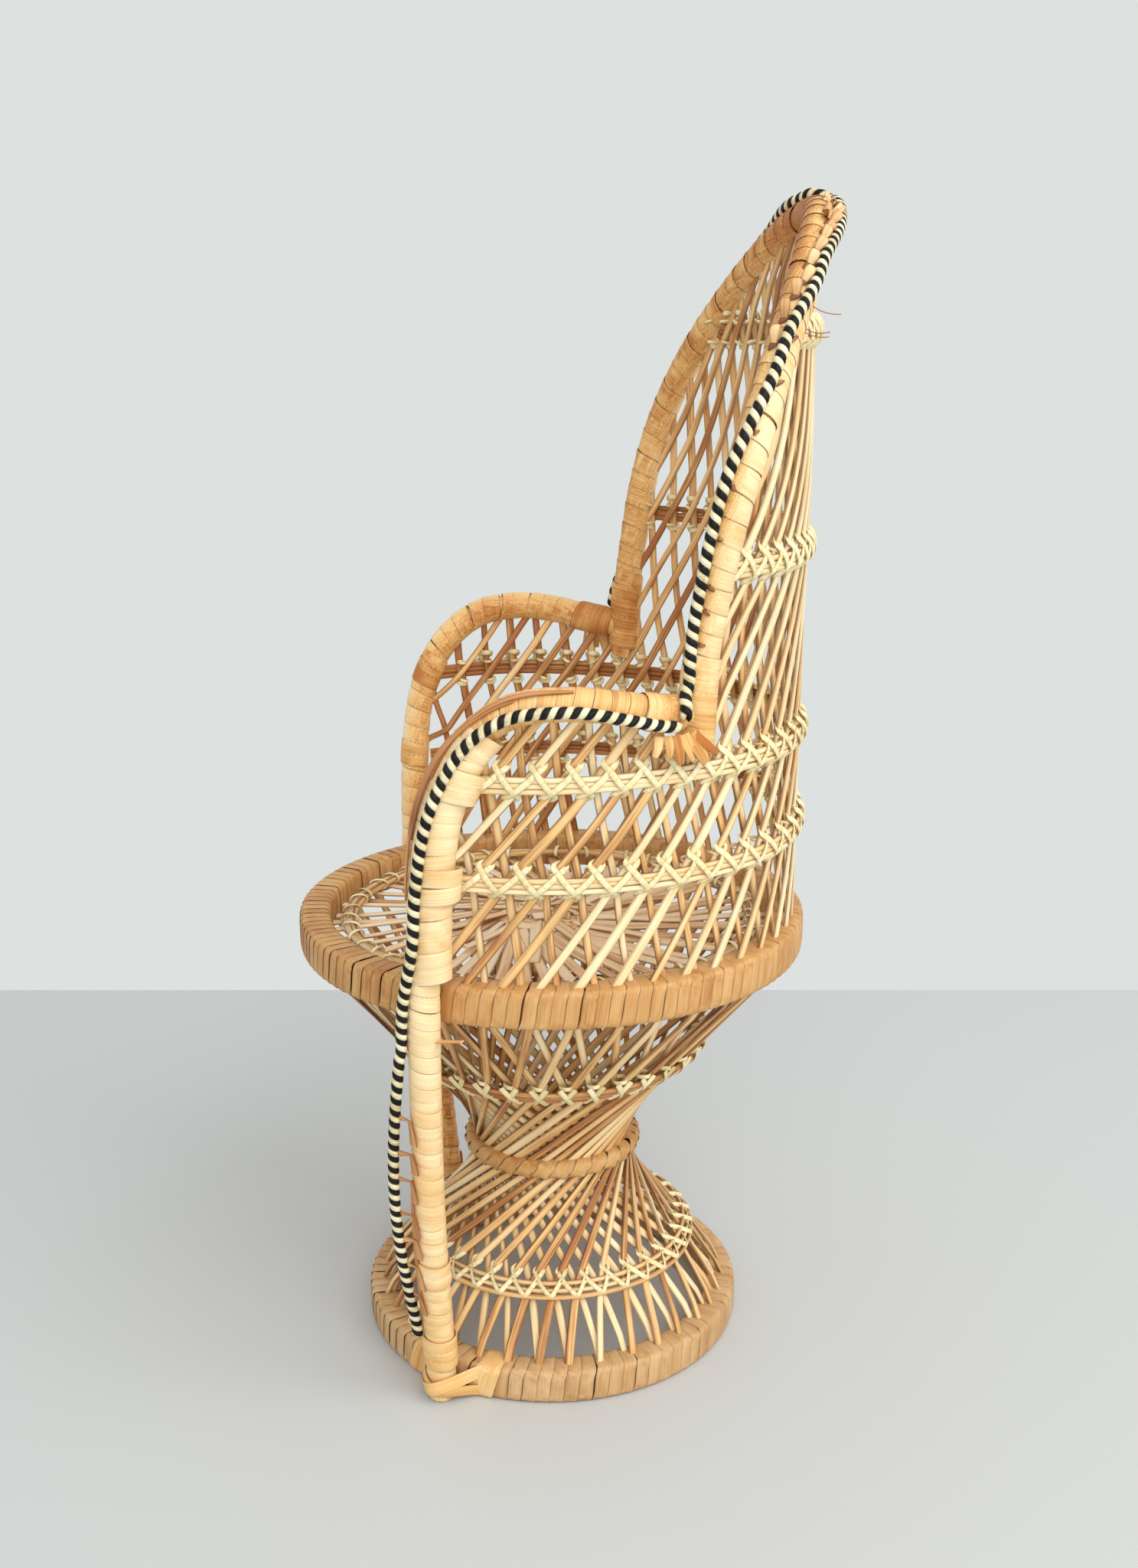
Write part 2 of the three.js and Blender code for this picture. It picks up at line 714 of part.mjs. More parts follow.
// Seat web of swept spokes and the bar lashed round its rim
const webRadius = seatRadius - ringThickness - touchGap;
const webTop = seatTop - webDrop;
const circle = (r, a) => [r * Math.cos(radians(a)), r * Math.sin(radians(a))];
const web = new THREE.Shape();
for (let i = 0; i < ringSegments; i += 1) {
  web[i === 0 ? 'moveTo' : 'lineTo'](...circle(webRadius, (fullTurn * i) / ringSegments));
}
web.closePath();
const addHole = (points) => {
  const hole = new THREE.Path();
  points.forEach(([x, y], k) => hole[k === 0 ? 'moveTo' : 'lineTo'](x, y));
  hole.closePath();
  web.holes.push(hole);
};
const hubPoints = [];
for (let i = 0; i < spokeCount; i += 1) {
  const a = (fullTurn * i) / spokeCount;
  hubPoints.push(circle(hubHole, a));
  addHole([
    circle(webRadius - webRim, a), circle(webRadius - webRim, a + spokeGapAngle),
    circle(hubRadius, a + spokeSweep + spokeTipShift),
  ]);
}
addHole(hubPoints.reverse());
const webSolid = new THREE.ExtrudeGeometry(web, { depth: webThickness, steps: 1, bevelEnabled: false });
webSolid.translate(0, 0, webTop - webThickness);
addPart('seat_web', tidySolid(webSolid), reed);

const rimOuter = seatRadius - ringThickness - rimBarGap;
const rimInner = rimOuter - rimBarSize;
const rimLow = webTop + touchGap;
addPart('seat_rim_bar', ringSolid([
  [rimInner, rimLow], [rimOuter, rimLow], [rimOuter, rimLow + rimBarShoulder],
  [(rimInner + rimOuter) / 2, rimLow + rimBarSize], [rimInner, rimLow + rimBarShoulder],
]), reed);

// Origin on the floor under the middle of the chair's outline
const box = new THREE.Box3().setFromObject(group);
const middle = box.getCenter(vector());
group.children.forEach((mesh) => mesh.geometry.translate(-middle.x, -middle.y, -box.min.z));

export default group;
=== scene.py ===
import json
import math

import bpy
import numpy as np
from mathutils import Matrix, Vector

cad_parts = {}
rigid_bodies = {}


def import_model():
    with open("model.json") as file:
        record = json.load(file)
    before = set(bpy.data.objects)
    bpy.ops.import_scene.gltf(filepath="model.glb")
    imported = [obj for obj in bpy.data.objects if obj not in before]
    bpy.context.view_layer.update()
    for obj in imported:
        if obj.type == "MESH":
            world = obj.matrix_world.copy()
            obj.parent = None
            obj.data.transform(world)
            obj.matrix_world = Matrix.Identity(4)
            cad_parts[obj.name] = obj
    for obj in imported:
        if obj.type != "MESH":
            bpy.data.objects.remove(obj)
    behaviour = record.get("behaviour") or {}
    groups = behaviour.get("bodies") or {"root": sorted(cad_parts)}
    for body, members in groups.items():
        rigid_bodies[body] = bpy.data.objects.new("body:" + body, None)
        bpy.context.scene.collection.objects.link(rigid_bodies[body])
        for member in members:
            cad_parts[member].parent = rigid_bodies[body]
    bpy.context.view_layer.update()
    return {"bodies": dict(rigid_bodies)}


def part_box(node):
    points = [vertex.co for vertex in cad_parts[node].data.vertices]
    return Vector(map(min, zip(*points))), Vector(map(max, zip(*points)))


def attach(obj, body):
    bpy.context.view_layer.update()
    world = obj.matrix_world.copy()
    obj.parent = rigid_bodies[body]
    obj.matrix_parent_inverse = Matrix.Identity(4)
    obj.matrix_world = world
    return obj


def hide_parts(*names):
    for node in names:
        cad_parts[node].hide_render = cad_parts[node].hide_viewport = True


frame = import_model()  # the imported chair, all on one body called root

mm = 0.001  # sizes below are in millimetres
rng = np.random.default_rng(16)
pick = rng.uniform  # a random number between two
fullTurn = 2 * math.pi
upward = np.array([0.0, 0.0, 1.0])


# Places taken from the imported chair

def nodeBox(node):
    low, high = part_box(node)
    return np.array(low) / mm, np.array(high) / mm


seatLow, seatHigh = nodeBox("seat_outer_hoop")
baseLow, baseHigh = nodeBox("base_outer_hoop")
waistLow, waistHigh = nodeBox("waist_outer_hoop")
webTop = nodeBox("seat_web")[1][2]
rimLow, rimHigh = nodeBox("seat_rim_bar")
axisMid = (seatLow + seatHigh) / 2 * (1, 1, 0)  # the rings share this upright line

chair = {
    "seatRadius": (seatHigh - seatLow)[0] / 2,
    "seatTop": seatHigh[2],
    "seatBottom": seatLow[2],
    "baseRadius": (baseHigh - baseLow)[0] / 2,
    "baseTop": baseHigh[2],
    "waistRadius": (waistHigh - waistLow)[0] / 2,
    "waistMid": (waistHigh + waistLow)[2] / 2,
    "ringThick": 10,  # both hoops and the stakes between them
    "layerInset": 3.65,  # outer face of a ring to the middle of the outer stakes
    "layerPitch": 2.7,  # outer stakes to inner stakes
    "poleRadius": 4.7,  # under the wrapping
}
seatLayer = chair["seatRadius"] - chair["layerInset"]
baseLayer = chair["baseRadius"] - chair["layerInset"]
waistLayer = chair["waistRadius"] - chair["layerInset"]


# Selecting and editing, straight strips, and laying them along a route

def selectNone():
    if bpy.context.object and bpy.context.object.mode != "OBJECT":
        bpy.ops.object.mode_set(mode="OBJECT")
    bpy.ops.object.select_all(action="DESELECT")


def edit(on):  # with every corner selected
    bpy.ops.object.mode_set(mode="EDIT" if on else "OBJECT")
    if on:
        bpy.ops.mesh.select_all(action="SELECT")


def sectionOf(width, thick, sides, bulge):  # 1 is round, less is squarer
    return {"width": width, "thick": thick, "sides": sides, "round": bulge}


def straightStrip(section, cuts):  # runs from 0 to 1 along x, its good face up
    selectNone()
    bpy.ops.mesh.primitive_circle_add(vertices=section["sides"], radius=1, rotation=(0, math.pi / 2, 0))
    strip = bpy.context.object
    bpy.ops.object.transform_apply(location=True, rotation=True, scale=True)
    for corner in strip.data.vertices:  # rounder or squarer across
        for k in (1, 2):
            corner.co[k] = math.copysign(abs(corner.co[k]) ** section["round"], corner.co[k])
    edit(True)
    bpy.ops.transform.resize(value=(1, section["width"] / 2, section["thick"] / 2))
    bpy.ops.mesh.extrude_region_move(TRANSFORM_OT_translate={"value": (1 / cuts, 0, 0)})
    edit(False)
    lengths = strip.modifiers.new("lengths", "ARRAY")
    lengths.count = cuts
    lengths.use_relative_offset = False
    lengths.use_constant_offset = True
    lengths.constant_offset_displace = (1 / cuts, 0, 0)
    lengths.use_merge_vertices = True
    lengths.merge_threshold = 0.1 / cuts
    bpy.ops.object.modifier_apply(modifier=lengths.name)
    edit(True)
    bpy.ops.mesh.fill_holes(sides=0)
    bpy.ops.mesh.normals_make_consistent(inside=False)
    edit(False)
    if "tilt" in section:  # each turn lies on the edge of the last one
        for corner in strip.data.vertices:
            corner.co.z += corner.co.y * section["tilt"]
    return strip


def evenly(count):  # from 0 to 1
    return np.linspace(0, 1, count)


def hump(t):  # rises from 0 and falls back to 0
    return np.sin(math.pi * t)


def unit(rows):
    return rows / np.maximum(np.linalg.norm(rows, axis=-1, keepdims=True), 1e-9)


def squareTo(heading, rows):
    return unit(rows - heading * np.sum(rows * heading, 1, keepdims=True))


def wayGone(points):  # millimetres from the start to each point
    return np.concatenate([[0], np.cumsum(np.linalg.norm(np.diff(points, axis=0), axis=1))])


def sampled(rows, at):  # rows read at fractional places
    rows = np.asarray(rows, float)
    steps = np.arange(len(rows))
    if rows.ndim == 1:
        return np.interp(at, steps, rows)
    return np.stack([np.interp(at, steps, rows[:, k]) for k in range(rows.shape[1])], 1)


def keepValues(mesh, name, values):
    mesh.attributes.new(name, "FLOAT", "POINT").data.foreach_set("value", values.astype(np.float32))


strips = {}  # straight ones, by section and cuts


def ribbon(section, points, normals, tone=None, swell=1.0, under=0.0, cuts=None):  # a strip bent along a route
    key = (*section.items(), cuts or len(points) - 1)
    if key not in strips:
        strips[key] = straightStrip(section, key[-1])
    tone = rng.random() if tone is None else tone
    piece = strips[key].copy()
    piece.data = piece.data.copy()
    bpy.context.scene.collection.objects.link(piece)
    flat = np.empty(len(piece.data.vertices) * 3)
    piece.data.vertices.foreach_get("co", flat)
    flat = flat.reshape(-1, 3)
    at = np.clip(flat[:, 0], 0, 1) * (len(points) - 1)
    heading = unit(np.gradient(points, axis=0))
    facing = squareTo(heading, np.broadcast_to(normals, points.shape))
    sideways = np.cross(facing, heading)
    width = sampled(np.broadcast_to(swell, len(points)), at)[:, None]
    placed = sampled(points, at)
    placed = placed + sampled(sideways, at) * flat[:, 1:2] * width + sampled(facing, at) * flat[:, 2:3]
    piece.data.vertices.foreach_set("co", (placed * mm).ravel())
    keepValues(piece.data, "along", sampled(wayGone(points), at) * mm + pick(0, 9))
    keepValues(piece.data, "across", flat[:, 1] / np.abs(flat[:, 1]).max())
    shade = sampled(np.broadcast_to(tone, len(points)), at)
    keepValues(piece.data, "tone", shade - under * (flat[:, 2] < 0))  # painted shade: some are browner underneath
    piece.data.update()
    return piece


def finishPiece(parts, name, look, nodes=()):
    selectNone()
    for part in parts:
        part.select_set(True)
    bpy.context.view_layer.objects.active = parts[0]
    if len(parts) > 1:
        bpy.ops.object.join()
    piece = bpy.context.object
    piece.name = name
    piece.data.name = name
    piece.data.materials.clear()
    piece.data.materials.append(paint[look])
    bpy.ops.object.shade_smooth_by_angle(angle=math.radians(60))
    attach(piece, "root")
    if nodes:
        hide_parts(*nodes)
    print(name, "from", len(parts), "lengths,", len(piece.data.polygons), "faces")


# Routes

def onRound(angle, height, radius, side=1):  # degrees from the back, round the rings' line
    a = np.radians(angle)
    height = np.broadcast_to(height, np.shape(a))
    return np.stack([side * radius * np.sin(a), radius * np.cos(a) + axisMid[1], height], -1)


def outward(points):
    return unit((points - axisMid) * (1, 1, 0))


def smoothRoute(points, steps):  # an even curve through the points, tight at close ones
    points = np.asarray(points, float)
    padded = np.vstack([2 * points[0] - points[1], points, 2 * points[-1] - points[-2]])
    made = []
    for k in range(len(points) - 1):
        before, here, there, after = padded[k:k + 4]
        gaps = [np.linalg.norm(q - p) ** 0.5 for p, q in ((before, here), (here, there), (there, after))]
        leave = (here - before) / gaps[0] - (there - before) / (gaps[0] + gaps[1]) + (there - here) / gaps[1]
        reach = (there - here) / gaps[1] - (after - here) / (gaps[1] + gaps[2]) + (after - there) / gaps[2]
        t = np.linspace(0, 1, 40, endpoint=False)[:, None]
        made.append((2 * t ** 3 - 3 * t ** 2 + 1) * here + (t ** 3 - 2 * t ** 2 + t) * leave * gaps[1]
                    + (3 * t ** 2 - 2 * t ** 3) * there + (t ** 3 - t ** 2) * reach * gaps[1])
    return evenSteps(np.vstack([*made, points[-1:]]), steps)


def evenSteps(points, steps):
    travelled = wayGone(points)
    at = np.interp(np.linspace(0, travelled[-1], steps + 1), travelled, np.arange(len(points)))
    return sampled(points, at)


def routeLength(points):
    return np.linalg.norm(np.diff(points, axis=0), axis=1).sum()


def drift(count, places):  # slow random change, -1 to 1
    return np.interp(places, np.arange(count + 2), pick(-1, 1, count + 2))


def wobble(steps, places, size):  # a hand-bent reed's small errors
    return np.interp(evenly(steps), evenly(places), rng.normal(0, size, places))


def roundOutline(acrossHalf, upHalf, power, sides=48):
    a = np.linspace(0, fullTurn, sides + 1) - 0.75 * math.pi  # starts low on the inner side
    corners = np.stack([np.cos(a), np.sin(a)], 1)
    return np.sign(corners) * np.abs(corners) ** (2 / power) * (acrossHalf, upHalf)


def woundRoute(route, outs, outline, turns, steps, wander=0.0, lift=0.0, start=0.0, slant=0.0):
    # a strip's way round and round the outline while it moves along the route
    count = int(turns * steps) + 1
    turn = np.arange(count) / steps
    share = ((turn + start) % 1) * (len(outline) - 1)
    a, b = sampled(outline, share).T
    shift = wander * drift(int(turns) + 1, turn) + slant * b / np.abs(b).max()
    at = np.clip((turn + shift) / turns, 0, 1) * (len(route) - 1)
    middle = sampled(route, at)
    heading = unit(sampled(np.gradient(route, axis=0), at))
    out = sampled(outs, at)
    out = squareTo(heading, out)
    up = np.cross(out, heading)
    slope = np.gradient(outline, axis=0)
    slope[0] = slope[-1] = outline[1] - outline[-2]
    da, db = sampled(slope, share).T
    normal = unit(db[:, None] * out - da[:, None] * up)
    raised = lift * (0.5 + 0.5 * drift(int(turns) + 1, turn))
    points = middle + a[:, None] * out + b[:, None] * up + normal * raised[:, None]
    tone = 0.5 + 0.5 * drift(int(turns) + 1, turn)
    return points, normal, tone


def woundStrip(section, shade, change, *way, **how):
    points, normals, tone = woundRoute(*way, **how)
    return ribbon(section, points, normals, shade + change * (tone - 0.5))


# Materials

def tint(red, green, blue):  # as seen, turned to the shader's linear values
    seen = np.array([red, green, blue]) / 255
    linear = np.where(seen <= 0.04045, seen / 12.92, ((seen + 0.055) / 1.055) ** 2.4)
    return (*linear, 1)


# dark, middle and pale shade, grain, then the colour of the painted shadow along the borders and where it
# starts
looks = {
    "ringPeel": {"shades": ((166, 102, 48), (200, 148, 86), (228, 188, 128)), "fibres": 16,
        "edge": (92, 58, 34), "edgeAt": 0.84, "edgeLow": 0.5, "bump": 0.4},
    "basePeel": {"shades": ((172, 116, 68), (204, 162, 110), (228, 196, 150)), "fibres": 16,
        "edge": (92, 58, 34), "edgeAt": 0.86, "edgeLow": 0.45, "rough": (0.42, 0.64), "bump": 0.45},
    "polePeel": {"shades": ((184, 110, 42), (234, 185, 113), (252, 228, 180)), "fibres": 12, "stretch": 34,
        "vary": 0.55, "edge": (104, 66, 40), "edgeAt": 0.9, "edgeLow": 0.25, "bump": 0.4},
    "reed": {"shades": ((170, 106, 54), (236, 190, 124), (252, 232, 186)), "fibres": 2.5, "stretch": 45,
        "vary": 0.5, "edge": (112, 76, 48), "edgeAt": 0.58, "edgeLow": 0.5, "rough": (0.38, 0.62)},
    "seatReed": {"shades": ((198, 146, 98), (247, 211, 162), (253, 235, 202)), "stretch": 45, "vary": 0.4,
        "edge": (126, 88, 60), "edgeAt": 0.7, "rough": (0.45, 0.7)},
    "lashing": {"shades": ((205, 180, 122), (240, 225, 172), (250, 243, 212)), "fibres": 2, "stretch": 80,
        "vary": 0.35, "edge": (190, 170, 130), "rough": (0.36, 0.55), "bump": 0.2},
    "looseCane": {"shades": ((128, 70, 36), (190, 128, 74), (230, 180, 122)), "vary": 0.7,
        "edge": (170, 130, 100)},
    "tornPeel": {"shades": ((132, 80, 42), (204, 150, 94), (240, 204, 150)), "stretch": 70, "vary": 0.5,
        "edge": (170, 130, 100), "rough": (0.4, 0.6)},
    "blackStrand": {"shades": ((7, 6, 7), (17, 15, 16), (46, 41, 40)), "stretch": 90,
        "edge": (120, 120, 120), "rough": (0.42, 0.62), "bump": 0.25, "shine": 0.2},
    "ivoryStrand": {"shades": ((190, 168, 116), (232, 221, 180), (247, 241, 214)), "stretch": 90, "vary": 0.25,
        "edge": (170, 150, 112), "rough": (0.32, 0.52), "bump": 0.25},
    # the core only shows through the gaps between wraps, so its dark colour is painted shadow
    "caneCorePaintedShade": {"shades": ((52, 30, 14), (84, 52, 26), (112, 74, 40)), "fibres": 4, "stretch": 40,
        "edge": (220, 220, 220), "edgeAt": 0.9, "rough": (0.6, 0.8)},
}
usualLook = {"fibres": 3, "stretch": 30, "vary": 0.2, "edgeAt": 0.6, "edgeLow": 0.6, "rough": (0.38, 0.6),
             "bump": 0.3, "shine": 0.4}


def caneMaterial(name):
    look = {**usualLook, **looks[name]}
    dark, middle, pale = [tint(*shade) for shade in look["shades"]]
    material = bpy.data.materials.new(name)
    material.use_nodes = True
    nodes = material.node_tree.nodes
    link = material.node_tree.links.new
    shader = nodes["Principled BSDF"]

    def add(kind):
        return nodes.new("ShaderNode" + kind)

    def put(node, **numbers):
        for label, number in numbers.items():
            node.inputs[label].default_value = number

    def value(label):
        node = add("Attribute")
        node.attribute_name = label
        return node.outputs["Fac"]

    def sums(kind, first, second):
        node = add("Math")
        node.operation = kind
        for socket, given in zip(node.inputs, (first, second)):
            if isinstance(given, (int, float)):
                socket.default_value = given
            else:
                link(given, socket)
        return node.outputs[0]

    def grain(detail, *scales):
        place = add("CombineXYZ")
        for given, scale, socket in zip((along, across, tone), scales, place.inputs):
            link(sums("MULTIPLY", given, scale), socket)
        noise = add("TexNoise")
        put(noise, Scale=1, Detail=detail)
        link(place.outputs[0], noise.inputs["Vector"])
        return noise.outputs["Fac"]

    def spread(given, low, high, toLow, toHigh):
        node = add("MapRange")
        for socket, number in zip(node.inputs[1:5], (low, high, toLow, toHigh)):
            socket.default_value = number
        link(given, node.inputs[0])
        return node.outputs[0]

    along, across, tone = value("along"), value("across"), value("tone")
    fibre = grain(4, look["stretch"], look["fibres"], 17)  # fine lines along the strip
    patch = grain(2, 22, 0.7, 41)  # slow change of shade
    where = add("TexCoord")
    stain = add("TexNoise")  # age marks over the whole chair
    put(stain, Scale=38, Detail=3)
    link(where.outputs["Object"], stain.inputs["Vector"])
    shade = sums("ADD", sums("MULTIPLY", fibre, 0.62), sums("MULTIPLY", patch, 0.5))
    shade = sums("ADD", shade, sums("MULTIPLY", sums("SUBTRACT", tone, 0.5), look["vary"]))
    shade = sums("ADD", shade, sums("MULTIPLY", sums("SUBTRACT", stain.outputs["Fac"], 0.55), 0.4))
    ramp = add("ValToRGB")
    stops = ramp.color_ramp.elements
    stops[0].position, stops[0].color = 0.27, dark
    stops[1].position, stops[1].color = 0.86, pale
    stops.new(0.52).color = middle
    link(shade, ramp.inputs[0])
    border = spread(sums("ABSOLUTE", across, 0), look["edgeAt"], 1.0, 0.0, 1.0)
    border = sums("MULTIPLY", border, spread(grain(1, 14, 0.2, 29), 0.4, 0.62, look["edgeLow"], 1.0))
    darker = add("Mix")  # painted shadow along the borders of each strip
    darker.data_type = "RGBA"
    darker.blend_type = "MULTIPLY"
    put(darker, B=tint(*look["edge"]))
    link(border, darker.inputs["Factor"])
    link(ramp.outputs[0], darker.inputs["A"])
    link(darker.outputs["Result"], shader.inputs["Base Color"])
    shader.inputs["Specular IOR Level"].default_value = look["shine"]
    link(spread(fibre, 0.3, 0.7, *look["rough"]), shader.inputs["Roughness"])
    bump = add("Bump")
    put(bump, Strength=look["bump"], Distance=0.3 * mm)
    link(fibre, bump.inputs["Height"])
    link(bump.outputs[0], shader.inputs["Normal"])
    return material


paint = {name: caneMaterial(name) for name in looks}
print("materials ready:", ", ".join(paint))

# Cross sections of the strips that most pieces are cut from
peel = {"thick": 0.42, "sides": 8, "round": 0.55}
tie = sectionOf(2.1, 0.6, 6, 0.75)
stake = sectionOf(2.8, 1.4, 8, 0.72)


# Rings wound with peel
rings = {
    "seat": {"height": (seatLow + seatHigh)[2] / 2, "half": (5.2, 6.3), "pitch": 4.2, "slant": 0.14,
        "square": 6, "tilt": 0.045, "lap": 0.35},
    "base": {"height": chair["baseTop"] / 2, "half": (5.2, 5.85), "pitch": 4.6, "slant": 0.05, "square": 6,
        "tilt": 0.045, "lap": 0.4},
    "waist": {"height": chair["waistMid"], "half": (5.1, 2.9), "pitch": 5.6, "slant": 0.22, "square": 3.4,
        "tilt": 0.03, "lap": 0.3},
}


def ringMiddle(name):  # from the middle line to the middle of the ring
    return chair[name + "Radius"] - chair["ringThick"] / 2


def woundRing(name, ring):
    middle = ringMiddle(name)
    route = onRound(np.linspace(0, 360, 361), ring["height"], middle)
    outs = outward(route)
    turns = round(fullTurn * middle / ring["pitch"])
    outline = roundOutline(*ring["half"], ring["square"])
    section = {**peel, "width": ring["pitch"] + ring["lap"], "tilt": ring["tilt"]}
    wound = woundStrip(section, 0.5, 1, route, outs, outline, turns, steps=28, wander=0.12, lift=0.06,
                       slant=ring["slant"])
    thick, wide = [2 * half - 1.2 for half in ring["half"]]  # the cane lies inside the winding
    hoop = ribbon(sectionOf(wide, thick, 12, 0.6), route, outs, 0.5, cuts=120)
    finishPiece([wound], name + "RingWinding", "basePeel" if name == "base" else "ringPeel",
                [name + "_outer_hoop", name + "_inner_hoop"])
    # painted shadow: the dark core shows through the gaps in the winding
    finishPiece([hoop], name + "RingCane", "caneCorePaintedShade")


for ringName, ringSizes in rings.items():
    woundRing(ringName, ringSizes)

# Reeds of the pedestal: height, distance from the middle line, degrees turned
pedestal = {
    "pairs": 36, "apart": 10,  # degrees from one pair to the next
    "stations": [(5, baseLayer, 0), (chair["baseTop"], baseLayer, 0), (32.7, 48.5, 5),
                 (chair["waistMid"], waistLayer, 62.5), (106.5, 51.2, 120),
                 (chair["seatBottom"] + 0.5, seatLayer, 130), (chair["seatBottom"] + 6, seatLayer, 130)],
    "lowerBand": 2, "upperBand": 4,  # the stations that the bands lie at
}


def pedestalReeds(side, name, nodes):
    rows = np.array(pedestal["stations"], float)
    inset = 0 if side < 0 else chair["layerPitch"]
    reeds = []
    for index in range(pedestal["pairs"]):
        spin = pedestal["apart"] * index + rng.normal(0, 0.35)
        corners = onRound(spin + rows[:, 2], rows[:, 0], rows[:, 1] - inset, side)
        route = evenSteps(corners, 30)
        route[1:-1] = (route[:-2] + 2 * route[1:-1] + route[2:]) / 4  # reeds bend, they don't kink
        shade = pick(0.0, 0.75) + (0.3 if side > 0 else 0)  # painted light: the inner layer is paler
        reeds.append(ribbon(stake, route, outward(route), shade, pick(0.88, 1.15)))
    finishPiece(reeds, name, "reed", nodes)


def stakeNodes(layer):  # a real reed runs through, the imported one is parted
    return [f"pedestal_{half}_{layer}_stakes_{place}" for half in ("lower", "upper")
            for place in ("left", "front", "right")]


pedestalReeds(-1, "pedestalOuterReeds", stakeNodes("outer"))
pedestalReeds(1, "pedestalInnerReeds", stakeNodes("inner"))

# Poles: degrees from the back, distance outside the seat ring, rise above the seat
poles = {
    "leftFoot": 126.7, "rightFoot": 119.2, "seatAngle": 120.2,
    "leg": [(0.6, 73.2), (12.4, 73.2), (79, 84.55), (145.6, 93.5)],  # height, distance from the middle line
    "arm": [(120, 5.8, 2), (118.8, 7.4, 36), (116.3, 6.8, 60), (111, 4.1, 78), (102.8, 2.2, 88),
            (92.5, 3.1, 90.5), (83.7, 2.5, 89), (74.2, 0.3, 86), (65.6, -0.9, 84)],
    "hoop": [(65.5, -1.2, 75), (65, -0.3, 97), (64, 2.1, 115), (62.9, 5.2, 133), (60.6, 7.8, 152),
             (56.5, 8, 170), (49.2, 4.5, 188), (38.8, -0.2, 204), (26.6, -3, 217.5), (13.6, -3.1, 227.5),
             (0, -2, 231.5)],
    "pitches": {"leftArm": 5.0, "rightArm": 6.0, "backHoop": 7.0}, "coreRadius": 4.3,
    # the peel stands off the cane, laps over itself and tilts, starts this high and has painted shade on its
    # inner side
    "stand": 0.15, "lap": 0.8, "tilt": 0.038, "lowest": 4.2, "paintedShade": 0.5,
    # share of the length, shade from brown to pale
    "shades": {"leftArm": ((0, 0.7), (0.35, 0.8), (0.5, 1.0), (0.7, 1.0), (0.77, 0.45), (1, 0.5)),
               "rightArm": ((0, 0.75), (0.6, 0.85), (1, 0.75)),
               # the hoop darkens near its top: browner peel there, and painted shade
               "backHoop": ((0, 0.85), (0.28, 0.85), (0.36, 0.5), (0.5, 0.3), (0.6, 0.75), (1, 0.8))},
}


def poleCorners(part):
    angle, offset, rise = np.array(poles[part], float).T
    return onRound(angle, chair["seatTop"] + rise, chair["seatRadius"] + offset)


def mirrored(points):
    return points * (-1, 1, 1)


def armRoute(foot):  # leg and arm are one pole, from the floor to the notch
    level, radius = np.array(poles["leg"]).T
    middle = (foot + poles["seatAngle"]) / 2
    leg = onRound(np.array([foot, foot, middle, poles["seatAngle"]]), level, radius)
    return smoothRoute(np.vstack([leg, poleCorners("arm")]), 240)


leftArm = armRoute(poles["leftFoot"])
rightArm = armRoute(poles["rightFoot"])
halfHoop = poleCorners("hoop")
wholeHoop = smoothRoute(np.vstack([halfHoop, mirrored(halfHoop[-2::-1])]), 360)
leftHoop = wholeHoop[:181]  # from the left notch to the very top
poleRoutes = {"leftArm": leftArm, "rightArm": mirrored(rightArm), "backHoop": wholeHoop}


def woundPole(name, node):
    route = poleRoutes[name]
    radius = chair["poleRadius"] + poles["stand"]
    pitch = poles["pitches"][name]
    covered = route[route[:, 2] > poles["lowest"]]  # the winding stops at the floor and at the hoop
    covered = covered if name == "backHoop" else covered[:-4]
    turns = round(routeLength(covered) / pitch)
    outline = roundOutline(radius, radius, 2)
    points, normals, tone = woundRoute(covered, outward(covered), outline, turns, steps=20, wander=0.2,
                                       lift=0.1)
    inner = np.clip(-np.sum(normals * outward(points), 1), 0, 1)  # painted shade: browner on the side towards the middle line
    if name == "backHoop":  # and painted shade on its front
        inner = np.maximum(inner, np.clip(-1.1 * normals[:, 1], 0, 1))
    shade = np.interp(evenly(len(tone)), *np.array(poles["shades"][name]).T)
    tone = shade + 0.12 * (tone - 0.5) - poles["paintedShade"] * inner
    wound = ribbon({**peel, "width": pitch + poles["lap"], "tilt": poles["tilt"]}, points, normals, tone)
    core = sectionOf(2 * poles["coreRadius"], 2 * poles["coreRadius"], 14, 1)
    cane = ribbon(core, route, outward(route), 0.5, cuts=90)
    finishPiece([wound], name + "Winding", "polePeel", [node])
    finishPiece([cane], name + "Cane", "polePeel")


woundPole("leftArm", "left_arm_pole")
woundPole("rightArm", "right_arm_pole")
woundPole("backHoop", "back_hoop_pole")

# Reeds of the barrel, two layers that cross
barrel = {
    "spacing": 8, "offset": 0.25, "gather": 0.46, "foot": 150, "top": 389.5,
    "heights": [157.7, 192, 224, 285, 352, 389.5], "shifts": [0, 1.25, 2.75, 5.25, 7.75, 9.25],
    "bands": [192, 224, 285, 352], "indices": (-15, 27), "backFrom": 252,
    "edge": 115.5, "postAt": 166, "postEdge": 118.7,  # reeds run on to the posts above this height
    "close": ((205, 8), (228, 15)), "closest": 2.5, "bend": 0.8, "shortest": 12,
    "flare": {"out": 6, "rise": 90.5, "start": 60, "over": 40},  # towards the arms
    "shoulder": {"out": 12, "start": 240, "over": 150, "full": 60, "notch": 66, "fade": 6},
}


def eased(t):
    t = np.clip(t, 0, 1)
    return t * t * (3 - 2 * t)


